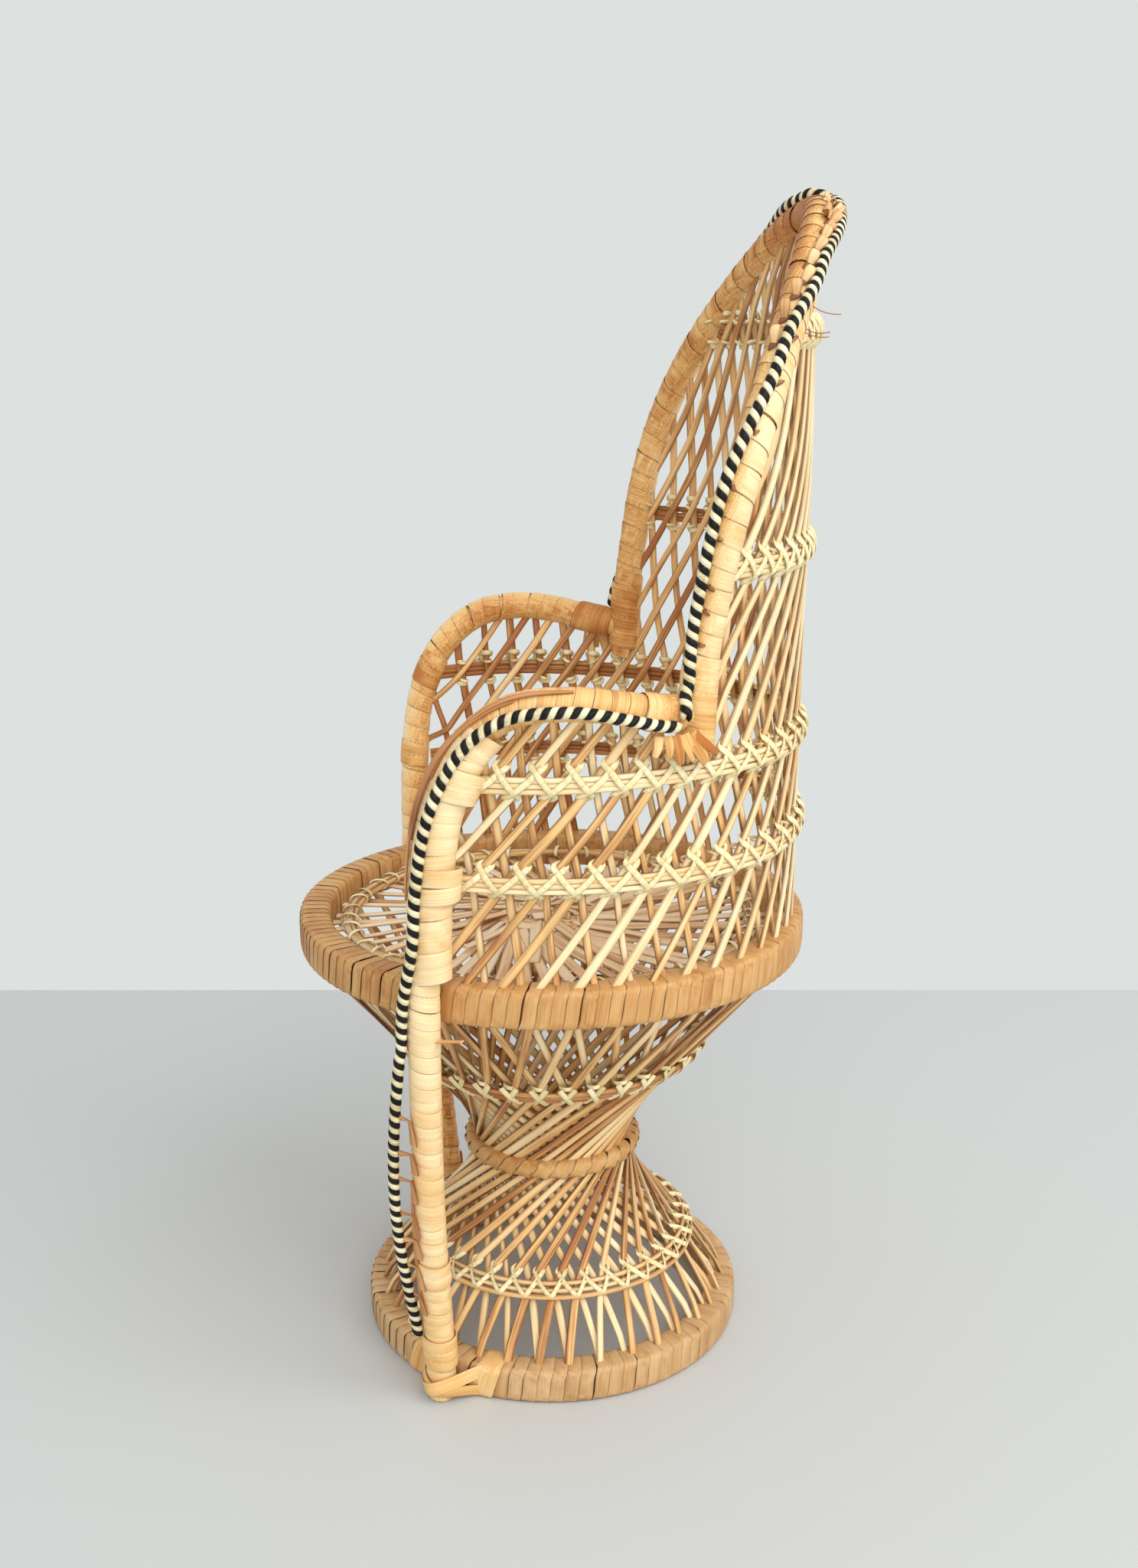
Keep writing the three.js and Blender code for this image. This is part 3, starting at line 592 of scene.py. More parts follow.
def barrelRadius(angle, height):  # middle of the outer reeds
    angle = np.abs(angle)
    flare, shoulder = barrel["flare"], barrel["shoulder"]
    rise = eased((height - chair["seatTop"]) / flare["rise"])
    arms = flare["out"] * rise * eased((angle - flare["start"]) / flare["over"])
    up = np.clip((height - shoulder["start"]) / shoulder["over"], 0, 1)
    back = shoulder["out"] * hump(up) ** 2 * (angle / shoulder["full"]) ** 2
    fade = np.clip((shoulder["notch"] + shoulder["fade"] - angle) / shoulder["fade"], 0, 1)
    return seatLayer + arms + np.where(angle <= shoulder["notch"], back, back * fade)


def stakeAngle(index, height):
    shift = np.interp(height, barrel["heights"], barrel["shifts"])
    seat = chair["seatTop"]
    narrow = 1 - barrel["gather"] * (height - seat) / (barrel["top"] - seat)
    return (index + barrel["offset"] - shift) * barrel["spacing"] * narrow


poleLine = np.vstack([leftArm[leftArm[:, 2] > barrel["foot"]], leftHoop])
poleLineAngle = np.degrees(np.arctan2(poleLine[:, 0], poleLine[:, 1] - axisMid[1]))


def poleHeight(angle):  # where a reed at this angle meets the arm or the hoop
    near = np.abs(poleLineAngle - np.abs(angle)) < 1.2
    return poleLine[near, 2].max() if near.any() else 0


bothPoles = np.vstack([poleLine, mirrored(poleLine)])
bothAngles = np.concatenate([poleLineAngle, -poleLineAngle])
bothRadii = np.hypot(bothPoles[:, 0], bothPoles[:, 1] - axisMid[1])


def nearestPole(angles, heights, radius):  # how far a reed is beside a pole, and the pole's own radius
    across = np.radians(angles[:, None] - bothAngles[None]) * radius[:, None]
    gaps = np.hypot(across, heights[:, None] - bothPoles[None, :, 2])
    return gaps.min(1), bothRadii[gaps.argmin(1)]


def barrelRoutes(index, side, inset):  # a reed stops at an arm and may start again beside the hoop
    heights = np.arange(barrel["foot"], barrel["top"] + 1, 1.0)
    angles = stakeAngle(index, np.maximum(heights, barrel["heights"][0]))
    radius = barrelRadius(angles, heights) - inset
    gap, poleReach = nearestPole(angles, heights, radius)
    close = np.interp(heights, *np.array(barrel["close"]).T)  # it bends later beside an upright post
    bend = barrel["bend"] * eased((close - gap) / (close - 3)) * eased((heights - barrel["postAt"]) / 16)
    radius = radius + (poleReach - radius) * bend  # its end bends into the pole
    below = np.array([height <= poleHeight(angle) for height, angle in zip(heights, angles)])
    edge = np.where(heights < barrel["postAt"], barrel["edge"], barrel["postEdge"])
    seen = (np.abs(angles) <= edge) & below & (gap > barrel["closest"])
    ends = np.flatnonzero(np.diff(np.concatenate([[0], seen, [0]])))
    points = onRound(angles, heights, radius, side)
    runs = zip(ends[::2], ends[1::2])
    return [points[first:last] for first, last in runs if last - first >= barrel["shortest"]]


def barrelReeds(side, layer):
    inset = 0 if side > 0 else chair["layerPitch"]
    reeds = {"barrel": [], "back": []}
    wide, shade = ((0.86, 1.2), (0.25, 1.0)) if side > 0 else ((0.82, 1.08), (0.3, 0.95))
    for index in range(*barrel["indices"]):
        for route in barrelRoutes(index, side, inset):
            part = "back" if route[0][2] > barrel["backFrom"] else "barrel"
            route = evenSteps(route, 34)
            route = route + np.cross(outward(route), upward) * wobble(35, 6, 0.22)[:, None]
            pale = 0.3 if side > 0 and route[17][1] > 20 else 0  # painted light: the outer reeds at the back are paler
            tone = pick(*shade) + pale
            # painted shade on the reeds' inner faces
            reeds[part].append(ribbon(stake, route, outward(route), tone, pick(*wide), under=0.4))
    for part, lengths in reeds.items():
        finishPiece(lengths, part + layer.title() + "Reeds", "reed", [f"{part}_{layer}_stakes"])


barrelReeds(1, "outer")
barrelReeds(-1, "inner")

# Bands: three thin reeds side by side, and the pale peel that ties them to the stakes
band = {
    "reed": sectionOf(2.0, 1.5, 8, 0.85),
    "rises": (-1.75, 0, 1.75), "stand": 1.75,
    # a tie, in millimetres beside a stake, above the band and off the stakes
    "up": ((-1.8, -4.2, 0.3), (-1.2, -3.1, 1.3), (-0.5, -1.7, 2.85), (0.7, 1.7, 2.85), (1.4, 4.0, 1.6),
           (1.9, 5.8, 0.5), (1.0, 6.6, -1.1), (-1.0, 6.6, -1.1)),
    "top": (-1.9, 5.9, 0.6), "foot": (1.9, -3.8, 0.7),
    "down": ((0.2, 2.4), (0.42, 3.15), (0.68, 3.1), (0.87, 1.9)),  # share of the way down, off the stakes
    "under": ((0.9, -4.8, -1.0), (-0.9, -4.8, -1.0)),
    "knot": sectionOf(1.1, 0.5, 6, 0.8), "knotRises": (-3.4, 3.6),
    "broadKnot": sectionOf(1.6, 0.6, 6, 0.8), "broadRise": 4.2,
}


def barReeds(name, angles, height, radiusAt, nodes, shade=(0.7, 1.1)):
    reeds = []
    for rise in band["rises"]:
        wave = wobble(73, 12, 0.16)
        route = onRound(angles, height + rise + wave, radiusAt(angles, height + rise) + band["stand"])
        # painted shade on the bars' inner faces
        reeds.append(ribbon(band["reed"], route, outward(route), pick(*shade), under=1.1))
    finishPiece(reeds, name, "reed", nodes)


def overBand(rise):  # how far a tie stands off the stakes as it crosses
    return 0.9 + 2.0 * np.clip(1.25 - np.abs(rise) / 3.9, 0, 1) ** 0.5


def zigzagTies(stakesAt, indices, height, radiusAt, size=1.0):
    def beside(index, turn):
        level = height + turn[1] * size
        angle = stakesAt(index, level)
        return np.array([angle - np.degrees(turn[0] * size / radiusAt(angle, level)), level, turn[2]])

    turns = []
    for index in indices:  # up along this stake, round behind it and down to the next one
        turns += [beside(index, turn) for turn in band["up"]]
        top, foot = beside(index, band["top"]), beside(index - 1, band["foot"])
        turns.append(top)
        turns += [(*(top + (foot - top) * share)[:2], stand) for share, stand in band["down"]]
        turns.append(foot)
        turns += [beside(index - 1, turn) for turn in band["under"]]
    angle, level, stand = np.array(turns).T
    return smoothRoute(onRound(angle, level, radiusAt(angle, level) + stand), len(turns) * 4)


def knotLoop(section, angle, height, radius, wide=2.0, deep=2.5):  # a turn of peel round one crossing
    turn = np.linspace(0, fullTurn, 15)
    tilt = rng.normal(0, 0.5)
    points = onRound(angle + np.degrees(wide * np.cos(turn) / radius), height + tilt * np.cos(turn),
                     radius - chair["layerPitch"] / 2 + deep * np.sin(turn))
    middle = onRound(angle, height, radius - chair["layerPitch"] / 2)
    return ribbon(section, points, points - middle)


def longTie(section, points):  # one strip that ties a whole band
    return ribbon(section, points, outward(points), 0.5 + 0.4 * drift(len(points), np.arange(len(points))))


def barrelBand(name, height, reach, node):
    angles = np.linspace(-reach, reach, 73)
    barReeds(name + "Reeds", angles, height, barrelRadius, [node + "_bar"])
    inside = [i for i in range(30, -24, -1) if abs(stakeAngle(i, height)) < reach - 3]
    ties = [longTie(tie, zigzagTies(stakeAngle, inside[:-1], height, barrelRadius))]
    for index in inside:  # small knots that show on the inner side
        for rise in band["knotRises"]:
            level = height + rise
            angle = stakeAngle(index, level)
            ties.append(knotLoop(band["knot"], angle, level, barrelRadius(angle, level), 1.45, 2.2))
    finishPiece(ties, name + "Ties", "lashing", [node + "_lashing"])


def bandReach(height):  # a band runs from pole to pole
    angles = np.arange(0, 118, 0.5)
    return max(a for a in angles if poleHeight(a) > height + 1 and a < 117.5)


bandNames = (("barrelLowerBand", "barrel_lower"), ("barrelUpperBand", "barrel_upper"),
             ("backMiddleBand", "back_middle"), ("backTopBand", "back_top"))
for bandHeight, (bandName, bandNode) in zip(barrel["bands"], bandNames):
    barrelBand(bandName, bandHeight, bandReach(bandHeight), bandNode)


def pedestalBand(name, station, node):
    height, radius, spin = pedestal["stations"][station]
    rows = np.array(pedestal["stations"], float)
    line = evenSteps(onRound(rows[:, 2], rows[:, 0], rows[:, 1]), 200) - axisMid  # one reed's way
    lineTurn = np.degrees(np.unwrap(np.arctan2(line[:, 0], line[:, 1])))

    def radiusAt(angle, level):
        return np.interp(level, line[:, 2], np.hypot(line[:, 0], line[:, 1]))

    def spinAt(index, level):
        return pedestal["apart"] * index - np.interp(level, line[:, 2], lineTurn)

    lower = name == "pedestalLowerBand"
    barReeds(name + "Reeds", np.linspace(0, 360, 73), height, radiusAt, [node + "_bar"],
             (0.4, 0.9) if lower else (-0.1, 0.4))
    ties = []
    if lower:
        points = zigzagTies(spinAt, range(pedestal["pairs"], -1, -1), height, radiusAt, 0.7)
        ties.append(longTie({**tie, "width": 1.8}, points))
    else:  # single crosses, and a knot above each
        top = height + band["broadRise"]
        t = np.linspace(-1, 1, 13)
        for index in range(pedestal["pairs"]):
            middle = -(pedestal["apart"] * index + spin) + rng.normal(0, 0.3)
            for lean in (-1, 1):
                rise = t * 4.1
                angle = middle + lean * np.degrees(t * 2.3 / radius)
                depth = overBand(rise) + (0.35 if lean > 0 else 0)
                points = onRound(angle, height + rise, radiusAt(angle, height + rise) + depth)
                ties.append(ribbon(tie, points, outward(points)))
            ties.append(knotLoop(band["broadKnot"], middle, top, radiusAt(middle, top), 2.4, 2.7))
    finishPiece(ties, name + "Ties", "lashing", [node + "_lashing"])


pedestalBand("pedestalLowerBand", pedestal["lowerBand"], "pedestal_lower")
pedestalBand("pedestalUpperBand", pedestal["upperBand"], "pedestal_upper")

# Piping: a cord of black and ivory strands wound side by side, held along the poles
piping = {
    "reach": 7.2, "core": 1.25, "pitch": 4.3,
    "strand": sectionOf(2.3, 1.3, 8, 0.9),
    # share of the pole's length, degrees round it from outward to the front
    "leftTurns": ((0.084, 72), (0.44, 72), (0.58, 14), (0.76, 4), (0.86, -7), (0.955, -20), (0.966, -20)),
    "rightTurns": ((0.07, 8), (0.5, 8), (0.8, -6), (0.955, -10)),
    "hoopLeftTurns": ((0.076, 44), (0.2, 58), (0.36, 62), (0.56, 16), (0.72, -25), (0.88, -60), (0.94, -64),
                      (1.0, -43)),
    "hoopRightTurns": ((0.076, 50), (0.2, 5), (0.6, 0), (0.82, 4), (0.91, 22), (0.96, 8), (1.0, -43)),
    "cornerTurns": ((0.971, 4), (0.972, 30), (0.974, 58)), "cornerReach": 7.6,
    "bow": 3.9, "bowLow": 30, "bowHigh": chair["seatTop"] - 16, "bowEnd": 0.44,
}


def aroundPole(route, share, degrees):  # a pole's middle, and the way out of it at these degrees
    at = share * (len(route) - 1)
    middle = sampled(route, at)
    heading = unit(sampled(np.gradient(route, axis=0), at))
    arch = np.maximum(0, middle[:, 2] - chair["seatTop"] - 160) * 1.4
    out = np.stack([middle[:, 0], (middle[:, 1] - axisMid[1]) * 0.35, arch], 1)
    out = squareTo(heading, out)
    front = np.cross(out, heading)
    turned = np.radians(degrees)[:, None]
    return middle, out * np.cos(turned) + front * np.sin(turned)


def pipingDegrees(turns, share):
    shares, degrees = np.array(turns, float).T
    step = np.clip(np.searchsorted(shares, share) - 1, 0, len(shares) - 2)
    part = eased((share - shares[step]) / (shares[step + 1] - shares[step]))
    return degrees[step] + (degrees[step + 1] - degrees[step]) * part


def pipingReach(height):  # the left leg's piping has bowed away from it
    loose = np.clip((height - piping["bowLow"]) / (piping["bowHigh"] - piping["bowLow"]), 0, 1)
    return piping["reach"] + piping["bow"] * hump(loose)


def besidePole(route, turns, steps, bowed):
    share = np.linspace(turns[0][0], turns[-1][0], steps + 1)
    middle, away = aroundPole(route, share, pipingDegrees(turns, share))
    reach = np.where((share < piping["bowEnd"]) & bowed, pipingReach(middle[:, 2]), piping["reach"])
    return middle + reach[:, None] * away


leftPiping = besidePole(leftArm, piping["leftTurns"], 160, True)
rightPiping = mirrored(besidePole(rightArm, piping["rightTurns"], 160, False))
hoopLeftPiping = besidePole(leftHoop, piping["hoopLeftTurns"], 120, False)
cornerMiddle, cornerAway = aroundPole(leftArm, *np.array(piping["cornerTurns"]).T)
corner = cornerMiddle + cornerAway * piping["cornerReach"]  # over the wrapping, down to the arm's piping
cornerRoute = smoothRoute(np.vstack([corner, hoopLeftPiping[2:12:3]]), 24)
hoopLeftPiping = np.vstack([cornerRoute[:-1], hoopLeftPiping[11:]])
hoopRightPiping = mirrored(besidePole(leftHoop, piping["hoopRightTurns"], 120, False))
hoopPiping = np.vstack([hoopLeftPiping, hoopRightPiping[-2::-1]])


def stripedCord(name, route, node):
    route = evenSteps(route, 240)
    outs = outward(route) + upward * 0.2
    turns = round(routeLength(route) / piping["pitch"])
    outline = roundOutline(piping["core"], piping["core"], 2)
    for colour, start in (("blackStrand", 0), ("ivoryStrand", 0.5)):
        strand = woundStrip(piping["strand"], 0.5, 1, route, outs, outline, turns, steps=12, start=start)
        finishPiece([strand], name + colour[:5].title(), colour, [node])


stripedCord("leftArmPiping", leftPiping, "left_arm_piping")
stripedCord("rightArmPiping", rightPiping, "right_arm_piping")
stripedCord("backHoopPiping", hoopPiping, "back_hoop_piping")

# Seat: strips that run in from the rim and sweep round into a rosette
seat = {
    "strip": sectionOf(4.3, 0.9, 8, 0.65),
    "count": 54, "rimRadius": 78, "innerRadius": 13, "pastMiddle": 1.12, "level": webTop - 1.2,
    "sweep": 22, "climb": 1.9,  # degrees and millimetres gained on the way in
    "topCount": 12, "topRim": 46, "topInner": 4.5, "topPast": 1.22, "topStart": 12, "topLift": 1.9,
    "rod": sectionOf(2.2, 2.2, 8, 1), "rodRadius": (rimHigh - rimLow)[0] / 2 - 1.5,
    "rodInsets": (-1.2, 1.3), "loop": sectionOf(1.5, 0.55, 6, 0.8), "loops": 48,
}


def seatStrips():
    strips = []
    share = evenly(27)
    for index in range(seat["count"] + seat["topCount"]):
        top = index >= seat["count"]  # a few more lie across the middle
        inner = seat["topInner"] if top else seat["innerRadius"] + pick(-2, 3)
        outer = seat["topRim"] if top else seat["rimRadius"]
        turn = 30 * (index - seat["count"]) + seat["topStart"] if top else 360 / seat["count"] * index
        along = share * (seat["topPast"] if top else seat["pastMiddle"])  # runs on past its nearest place
        reach = math.sqrt(outer ** 2 - inner ** 2)
        down, beside = reach * (1 - along), inner * (0.25 + 0.75 * np.minimum(along, 1) ** 3)
        angle = turn + rng.normal(0, 0.6) + np.degrees(np.arctan2(beside, down)) + seat["sweep"] * share ** 2
        wave = 0.5 * np.sin(share * 9 + 2.4 * index) * (1 - share)
        climb = seat["climb"] * share ** 2 + wave + (seat["topLift"] if top else 0)
        points = onRound(angle, seat["level"] + climb + 0.25 * (index % 3), np.hypot(down, beside))
        sideways = np.cross(upward, unit(np.gradient(points, axis=0)))
        normals = upward + sideways * (0.3 * share)[:, None]  # each lies on the next one
        strips.append(ribbon(seat["strip"], points, normals, rng.random(), pick(0.8, 1.1)))
    finishPiece(strips, "seatStrips", "seatReed", ["seat_web"])


def seatRim():  # two thin rods, laced to the strips and the ring
    rods, ties = [], []
    around = np.linspace(0, 360, 121)
    level = (rimLow + rimHigh)[2] / 2
    for inset in seat["rodInsets"]:
        wave = 0.3 * np.sin(np.radians(around * 7 + inset * 90))
        route = onRound(around, level + wave, seat["rodRadius"] + inset)
        rods.append(ribbon(seat["rod"], route, outward(route)))
    turn = np.linspace(0, fullTurn, 15)
    for index in range(seat["loops"]):
        angle = index * 360 / seat["loops"] + rng.normal(0, 0.6)
        slant = rng.choice((-1, 1)) * pick(0.6, 1.8)
        points = onRound(angle + np.degrees(slant * np.cos(turn) / 70), level + 1.9 * np.sin(turn),
                         seat["rodRadius"] + 3.0 * np.cos(turn))
        ties.append(ribbon(seat["loop"], points, points - onRound(angle, level, seat["rodRadius"])))
    finishPiece(rods, "seatRimRods", "reed", ["seat_rim_bar"])
    finishPiece(ties, "seatRimTies", "lashing")


seatStrips()
seatRim()

# Small bindings: collars on the posts, straps at the feet, tabs at the notches, laces and loose ends
binding = {
    "collar": sectionOf(5.2, 0.5, 8, 0.6),
    "wrap": sectionOf(7.0, 0.6, 8, 0.65),
    "broad": sectionOf(5.6, 0.5, 8, 0.6),
    "tab": sectionOf(6.2, 0.5, 8, 0.55),
    "lace": sectionOf(2.2, 0.6, 6, 0.8),
    "ear": sectionOf(3.2, 0.45, 8, 0.7),
    "loose": sectionOf(2.4, 0.8, 8, 0.75),
    "hair": sectionOf(0.35, 0.35, 5, 1),
}
poleRadius = chair["poleRadius"]


def shareAt(route, height):  # where a pole first passes a height
    return np.argmax(route[:, 2] >= height) / (len(route) - 1)


def lengthOf(route, shares):
    return sampled(route, shares * (len(route) - 1))


def collar(route, low, high, stand, turns, section, shade=0.65):  # a few turns round a pole between two shares
    part = lengthOf(route, np.linspace(low, high, 40))
    outline = roundOutline(poleRadius + stand, poleRadius + stand, 2)
    return woundStrip(binding[section], shade, 0.35, part, outward(part), outline, turns, steps=18, wander=0.1,
                      start=rng.random())


def broadWrap(part, turns, half, shift, shade):  # flat peel over a post and what ends beside it
    outs = outward(part)
    middle = part - 0.4 * shift * outs + shift * np.cross(upward, outs)
    return woundStrip(binding["broad"], shade, 0.3, middle, outs, roundOutline(*half, 2.3), turns, steps=24,
                      wander=0.2, slant=-0.4, start=rng.random())


def poleRibbon(section, route, share, degrees, distance, tone=None, swell=1.0):
    middle, away = aroundPole(route, share, np.broadcast_to(degrees, share.shape))
    points = middle + away * np.broadcast_to(distance, share.shape)[:, None]
    return ribbon(binding[section], points, away, tone, swell)


# Collars: heights on a post, shares of an arm or the hoop, half sizes of the broad wraps
collars = {
    "post": (160, 238), "postHalf": (5.7, 6.6), "leg": (49, 57), "foot": 14, "notch": (0.945, 0.978),
    "bandHalf": (6.5, 7.8), "band": 0.017,
    "hoop": ((0.002, 0.062, 0.65), (0.938, 0.998, 0.3)),  # from, to, shade
}


def armBindings():
    low, high = [shareAt(leftArm, height) for height in collars["post"]]
    wraps = [broadWrap(lengthOf(leftArm, np.linspace(low, high, 120)), 16, collars["postHalf"], 1.8, 0.9)]
    low, high = [shareAt(leftArm, height) for height in collars["leg"]]
    wraps.append(collar(leftArm, low, high, 0.8, 1.8, "collar"))
    for name, shade in (("leftArm", 0.65), ("rightArm", 0.35)):
        route = poleRoutes[name]
        for height in barrel["bands"][:2]:  # broad peel over the left post and the end of the band
            at = shareAt(route, height)
            if name == "leftArm":
                part = lengthOf(route, at + np.linspace(-collars["band"], collars["band"], 40))
                wraps.append(broadWrap(part, 2.2, collars["bandHalf"], 3.0, shade + 0.25))
            else:
                wraps.append(collar(route, at - 0.013, at + 0.015, 0.6, 2.4, "collar", shade))
        low = shareAt(route, collars["foot"])
        wraps.append(collar(route, low, low + 0.03, 1.0, 2.6, "collar", shade - 0.1))
        wraps.append(collar(route, *collars["notch"], 0.85, 2.6, "wrap", shade - 0.2))
    for low, high, shade in collars["hoop"]:
        wraps.append(collar(wholeHoop, low, high, 0.9, 4.6, "wrap", shade))
    finishPiece(wraps, "postCollars", "polePeel")


# Peel crossed over each foot and wound round the base ring beside it
feet = {"reach": 13, "out": 11.9, "level": 6.4, "slope": 0.3, "beside": (-12, 11.5), "half": (6.0, 5.95)}


def footBindings():
    straps = []
    ringFace, middle = chair["baseRadius"] - 0.2, ringMiddle("base")
    d = np.linspace(-feet["reach"], feet["reach"], 27)
    bulge = np.maximum(np.cos(math.pi * d / (2 * feet["reach"])), 0) ** 1.5
    for side, foot in ((1, poles["leftFoot"]), (-1, poles["rightFoot"])):
        for lean, extra in ((1, 0), (-1, 0.6)):
            radius = ringFace + (feet["out"] + extra) * bulge
            rise = np.clip(feet["level"] + lean * d * feet["slope"], 2.9, 11.2)
            points = onRound(foot + np.degrees(d / radius), rise, radius, side)
            straps.append(ribbon(binding["collar"], points, outward(points), pick(0.3, 0.6), 0.9))
        for place in feet["beside"]:
            around = foot + np.degrees((place + np.linspace(-3.5, 3.5, 30)) / middle)
            route = onRound(around, rings["base"]["height"], middle, side)
            straps.append(woundStrip(binding["collar"], 0.55, 0.5, route, outward(route),
                                     roundOutline(*feet["half"], 6), 1.7, steps=28, wander=0.1, slant=0.35))
    finishPiece(straps, "footBindings", "polePeel")


# Broad peel ends that fan out below the notches: degrees, lean, drop, width
notch = {
    "level": 238, "radius": 93,
    "tabs": ((69.2, -3.6, 9.5, 0.8), (70.6, -2.4, 8.0, 0.7), (72.2, -1.2, 9.0, 0.6), (73.8, -0.4, 6.5, 0.5),
             (75.5, 0.8, 6, 0.5), (68.4, -5.2, 7.0, 0.5)),
}


def notchTails():
    tabs = []
    t = evenly(13)
    for side in (1, -1):
        for start, lean, drop, width in notch["tabs"]:
            radius = notch["radius"] - 0.4 * t + 1.1 * np.sin(t * 2.6)
            points = onRound(start + lean * t ** 1.2, notch["level"] - drop * t, radius, side)
            tabs.append(ribbon(binding["tab"], points, outward(points) + upward * 0.15, pick(0.0, 0.65),
                               width * (0.95 - 0.35 * t ** 3)))
    finishPiece(tabs, "notchTabs", "polePeel")


# Laces, torn ends and loose canes: heights on the left leg, shares of the hoop's left half or of the arm
ends = {
    "hooks": (44, 57, 67, 77, 89, 101, 114), "stub": 141,
    "ears": (0.57, 0.61, 0.65, 0.69, 0.725, 0.76, 0.79, 0.82, 0.85, 0.875),
    "tacks": (0.15, 0.2, 0.235, 0.3, 0.37, 0.44, 0.51, 0.58),
    "curls": (0.86, 0.875, 0.885, 0.897, 0.91, 0.92, 0.932),
    "hairs": ((0.7, -118), (0.655, -124), (0.64, -112)),  # share, degrees round the pole
    "canes": ((0.66, 0.82, 58, 40, 1.0), (0.72, 0.87, 46, 52, 0.7), (0.6, 0.7, 62, 72, 0.4),
              (0.64, 0.76, 74, 66, 0.8), (0.135, 0.29, 52, 56, 0.4)),  # shares, degrees, lift
}


def legLaces():  # hooks of peel that still reach from the left leg to its piping
    laces = []
    perMm = 1 / routeLength(leftArm)
    t = evenly(17)
    gap = poleRadius + 1.2
    for height in ends["hooks"]:
        at = shareAt(leftArm, height + rng.normal(0, 1.0))
        rise = -pick(7, 10) * (1 - t) ** 1.3 + 1.6 * hump(t)
        reach = gap + (pipingReach(height) - 1.4 - gap) * eased((t - 0.55) / 0.45)
        turn = pick(30, 40) + 34 * t ** 1.3
        laces.append(poleRibbon("lace", leftArm, at + rise * perMm, turn, reach, pick(0.4, 0.8), 1.5 - 0.5 * t))
    stub = shareAt(leftArm, ends["stub"])
    laces.append(poleRibbon("lace", leftArm, stub + 3 * t * perMm, -62.0, 4.5 + 10 * t, 0.9, 1.1))
    finishPiece(laces, "legLaces", "looseCane")


def hoopLaces():  # lace ends beside the hoop's piping, tacks below it, torn curls and hairs near the top
    ears, tacks = [], []
    perMm = 1 / routeLength(leftHoop)
    t = evenly(11)
    arch = hump(t)

    def besidePiping(share):
        return pipingDegrees(piping["hoopLeftTurns"], share)

    for share in ends["ears"]:
        at = share + rng.normal(0, 0.004)
        beside = besidePiping(at) + pick(22, 31)
        lift = poleRadius + 0.6 + pick(2.8, 4.0) * np.sin(2.5 * t) ** 1.2
        along = at + pick(4.2, 6.4) * t * perMm
        turn = beside + pick(-12, 8) * t
        ears.append(poleRibbon("ear", leftHoop, along, turn, lift, pick(0.5, 1.3),
                               np.sin(math.pi * (0.1 + 0.86 * t)) ** 0.9 + 0.05))
        along = at - 1.5 * perMm + 3.4 * t * perMm  # painted shadow: a dark strip under the ear
        lift = poleRadius + 0.6 + 0.5 * arch
        ears.append(poleRibbon("ear", leftHoop, along, beside + 16 - 30 * t, lift, -0.6, 0.3 + 0.45 * arch))
    for share in ends["tacks"]:
        along = share + pick(-2, 3) * t * perMm
        turn = besidePiping(share) - 14 - pick(10, 24) * t
        lift = poleRadius + 0.75 + 0.5 * arch
        tacks.append(poleRibbon("lace", leftHoop, along, turn, lift, 0.1, 0.75 - 0.4 * t))
    for share in ends["curls"]:
        at = share + rng.normal(0, 0.004)
        beside = besidePiping(at) + pick(34, 58)
        lift = poleRadius + 0.8 + pick(1.4, 3.0) * np.sin(2.6 * t)
        along = at + pick(-5, 5) * t * perMm
        turn = beside + pick(-35, 35) * t
        tacks.append(poleRibbon("ear", leftHoop, along, turn, lift, pick(0.3, 1), 0.95 - 0.7 * t))
    for share, turn in ends["hairs"]:
        lift = poleRadius + pick(8, 12) * t
        along = share + pick(1, 7) * t ** 2 * perMm
        tacks.append(poleRibbon("hair", leftHoop, along, turn + 8 * t, lift, 0.2))
    finishPiece(ears, "hoopEars", "tornPeel")
    finishPiece(tacks, "hoopTacks", "tornPeel")


def looseCanes():  # long canes that lie along the left arm and leg
    canes = []
    t = evenly(41)
    arch = hump(t)
    for low, high, start, end, lift in ends["canes"]:
        canes.append(poleRibbon("loose", leftArm, low + (high - low) * t, start + (end - start) * t,
                                poleRadius + 0.85 + lift * arch, pick(0.4, 0.8), 0.3 + 0.55 * arch ** 0.5))
    finishPiece(canes, "looseCanes", "looseCane")


armBindings()
footBindings()
notchTails()
legLaces()
hoopLaces()
looseCanes()
for strip in strips.values():
    bpy.data.objects.remove(strip)

# The stage: a pale table top, two large soft lamps and an even room
stage = {
    "tableFar": 0.87, "tableSize": 2.4, "tableThick": 0.03, "table": tint(200, 203, 202),
    "room": tint(221, 225, 223), "roomLight": 0.72,
    "lamps": (((0.95, 0.85, 1.3), 1.4, 17), ((1.9, -0.15, 1.1), 1.4, 14)),  # place, size, power
    "camera": (0.5634, -0.0561, 0.353), "turn": (74.89, 0, 84), "lens": 38.67,
}


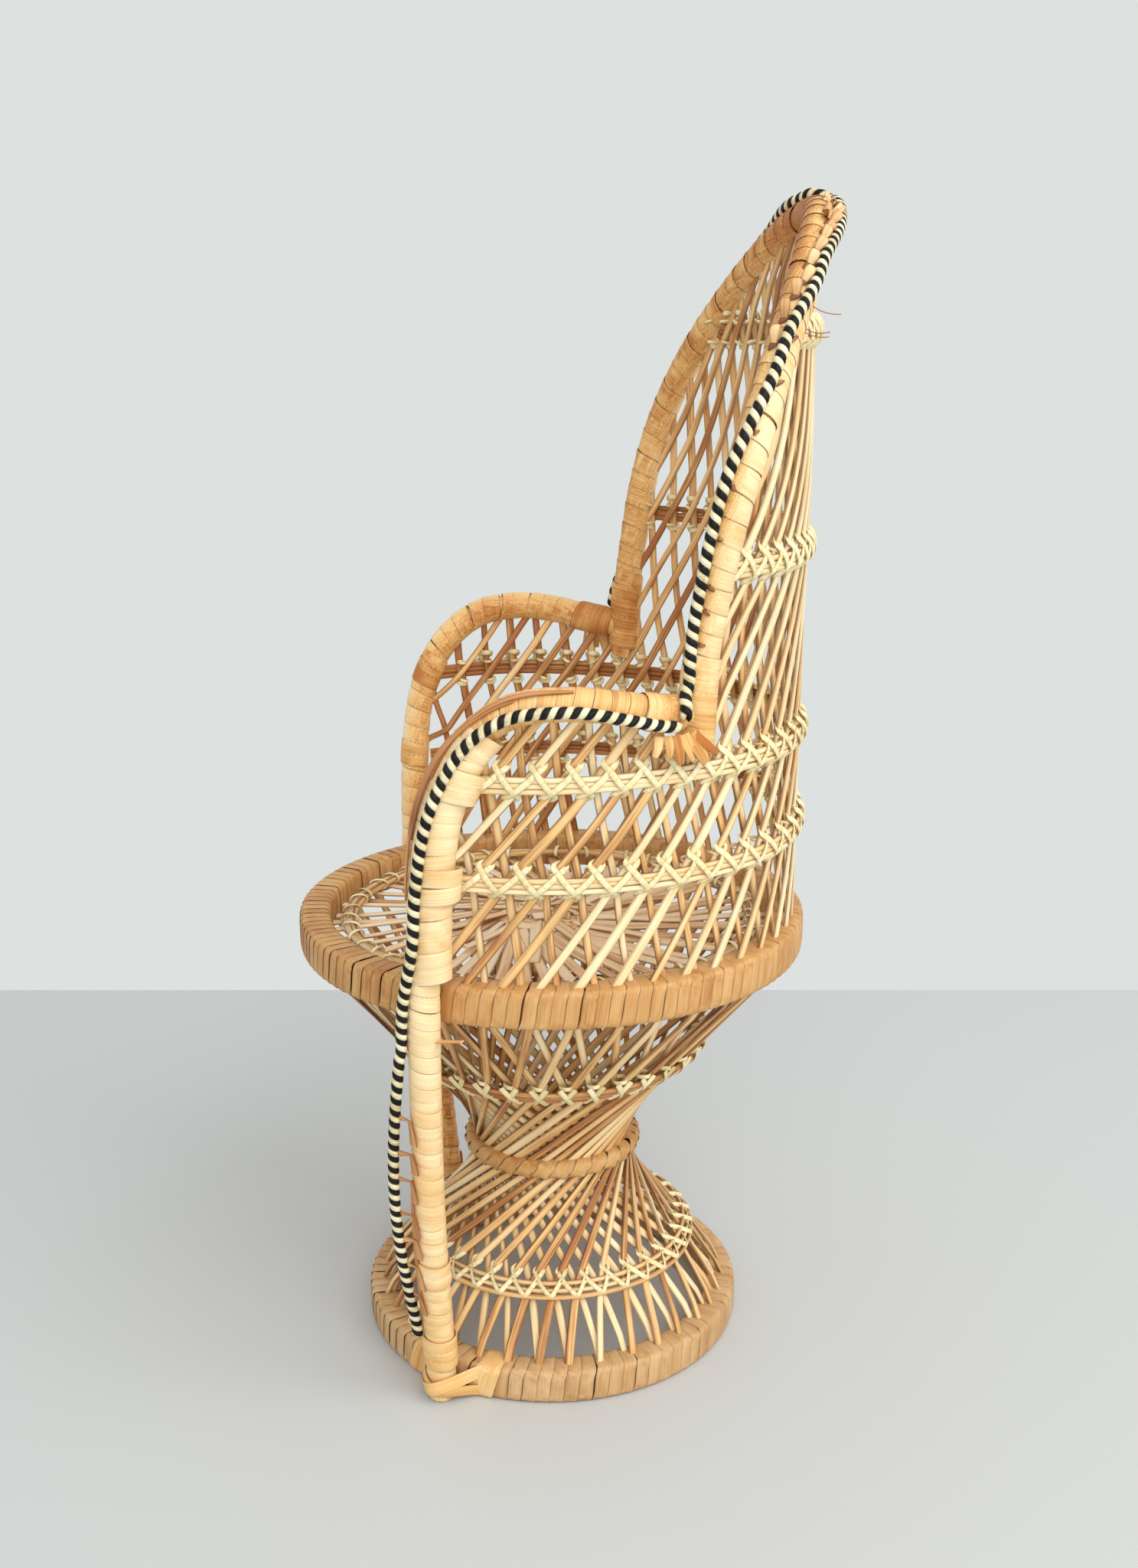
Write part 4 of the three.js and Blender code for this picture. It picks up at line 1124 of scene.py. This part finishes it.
def setTable():
    selectNone()
    bearing = math.radians(stage["turn"][2])
    back = stage["tableFar"] - stage["tableSize"] / 2
    middle = (stage["camera"][0] - back * math.sin(bearing), stage["camera"][1] + back * math.cos(bearing), 0)
    bpy.ops.mesh.primitive_plane_add(size=stage["tableSize"], location=middle, rotation=(0, 0, bearing))
    table = bpy.context.object
    table.name = "table"
    bpy.ops.object.transform_apply(location=True, rotation=True, scale=True)
    edit(True)
    bpy.ops.mesh.extrude_region_move(TRANSFORM_OT_translate={"value": (0, 0, -stage["tableThick"])})
    bpy.ops.mesh.select_all(action="SELECT")
    bpy.ops.mesh.normals_make_consistent(inside=False)
    edit(False)
    material = bpy.data.materials.new("tablePaint")
    material.use_nodes = True
    shader = material.node_tree.nodes["Principled BSDF"]
    shader.inputs["Roughness"].default_value = 0.7
    shader.inputs["Base Color"].default_value = stage["table"]
    table.data.materials.append(material)


def setRoom():
    world = bpy.data.worlds.new("room")
    bpy.context.scene.world = world
    world.use_nodes = True
    nodes = world.node_tree.nodes
    link = world.node_tree.links.new
    light = nodes["Background"]
    light.inputs["Color"].default_value = (1, 1, 1, 1)
    light.inputs["Strength"].default_value = stage["roomLight"]
    seen = nodes.new("ShaderNodeBackground")
    seen.inputs["Color"].default_value = stage["room"]
    path = nodes.new("ShaderNodeLightPath")
    either = nodes.new("ShaderNodeMixShader")
    shown = path.outputs["Is Camera Ray"]  # the same pale room for the camera and in reflections
    for ray in ("Is Glossy Ray", "Is Transmission Ray"):
        both = nodes.new("ShaderNodeMath")
        both.operation = "ADD"
        both.use_clamp = True
        link(shown, both.inputs[0])
        link(path.outputs[ray], both.inputs[1])
        shown = both.outputs[0]
    for given, socket in zip((shown, light.outputs[0], seen.outputs[0]), either.inputs):
        link(given, socket)
    link(either.outputs[0], nodes["World Output"].inputs[0])


def setLampsAndCamera():
    for place, size, power in stage["lamps"]:
        bpy.ops.object.light_add(type="AREA", location=place)
        lamp = bpy.context.object
        lamp.data.energy = power
        lamp.data.size = size
        aim = lamp.constraints.new("TRACK_TO")
        aim.target = frame["bodies"]["root"]
        aim.track_axis = "TRACK_NEGATIVE_Z"
        aim.up_axis = "UP_Y"
    bpy.ops.object.camera_add(location=stage["camera"], rotation=[math.radians(a) for a in stage["turn"]])
    camera = bpy.context.object
    camera.data.lens = stage["lens"]
    bpy.context.scene.camera = camera
    bpy.context.scene.view_settings.view_transform = "Standard"


setTable()
setRoom()
setLampsAndCamera()
print("stage set")
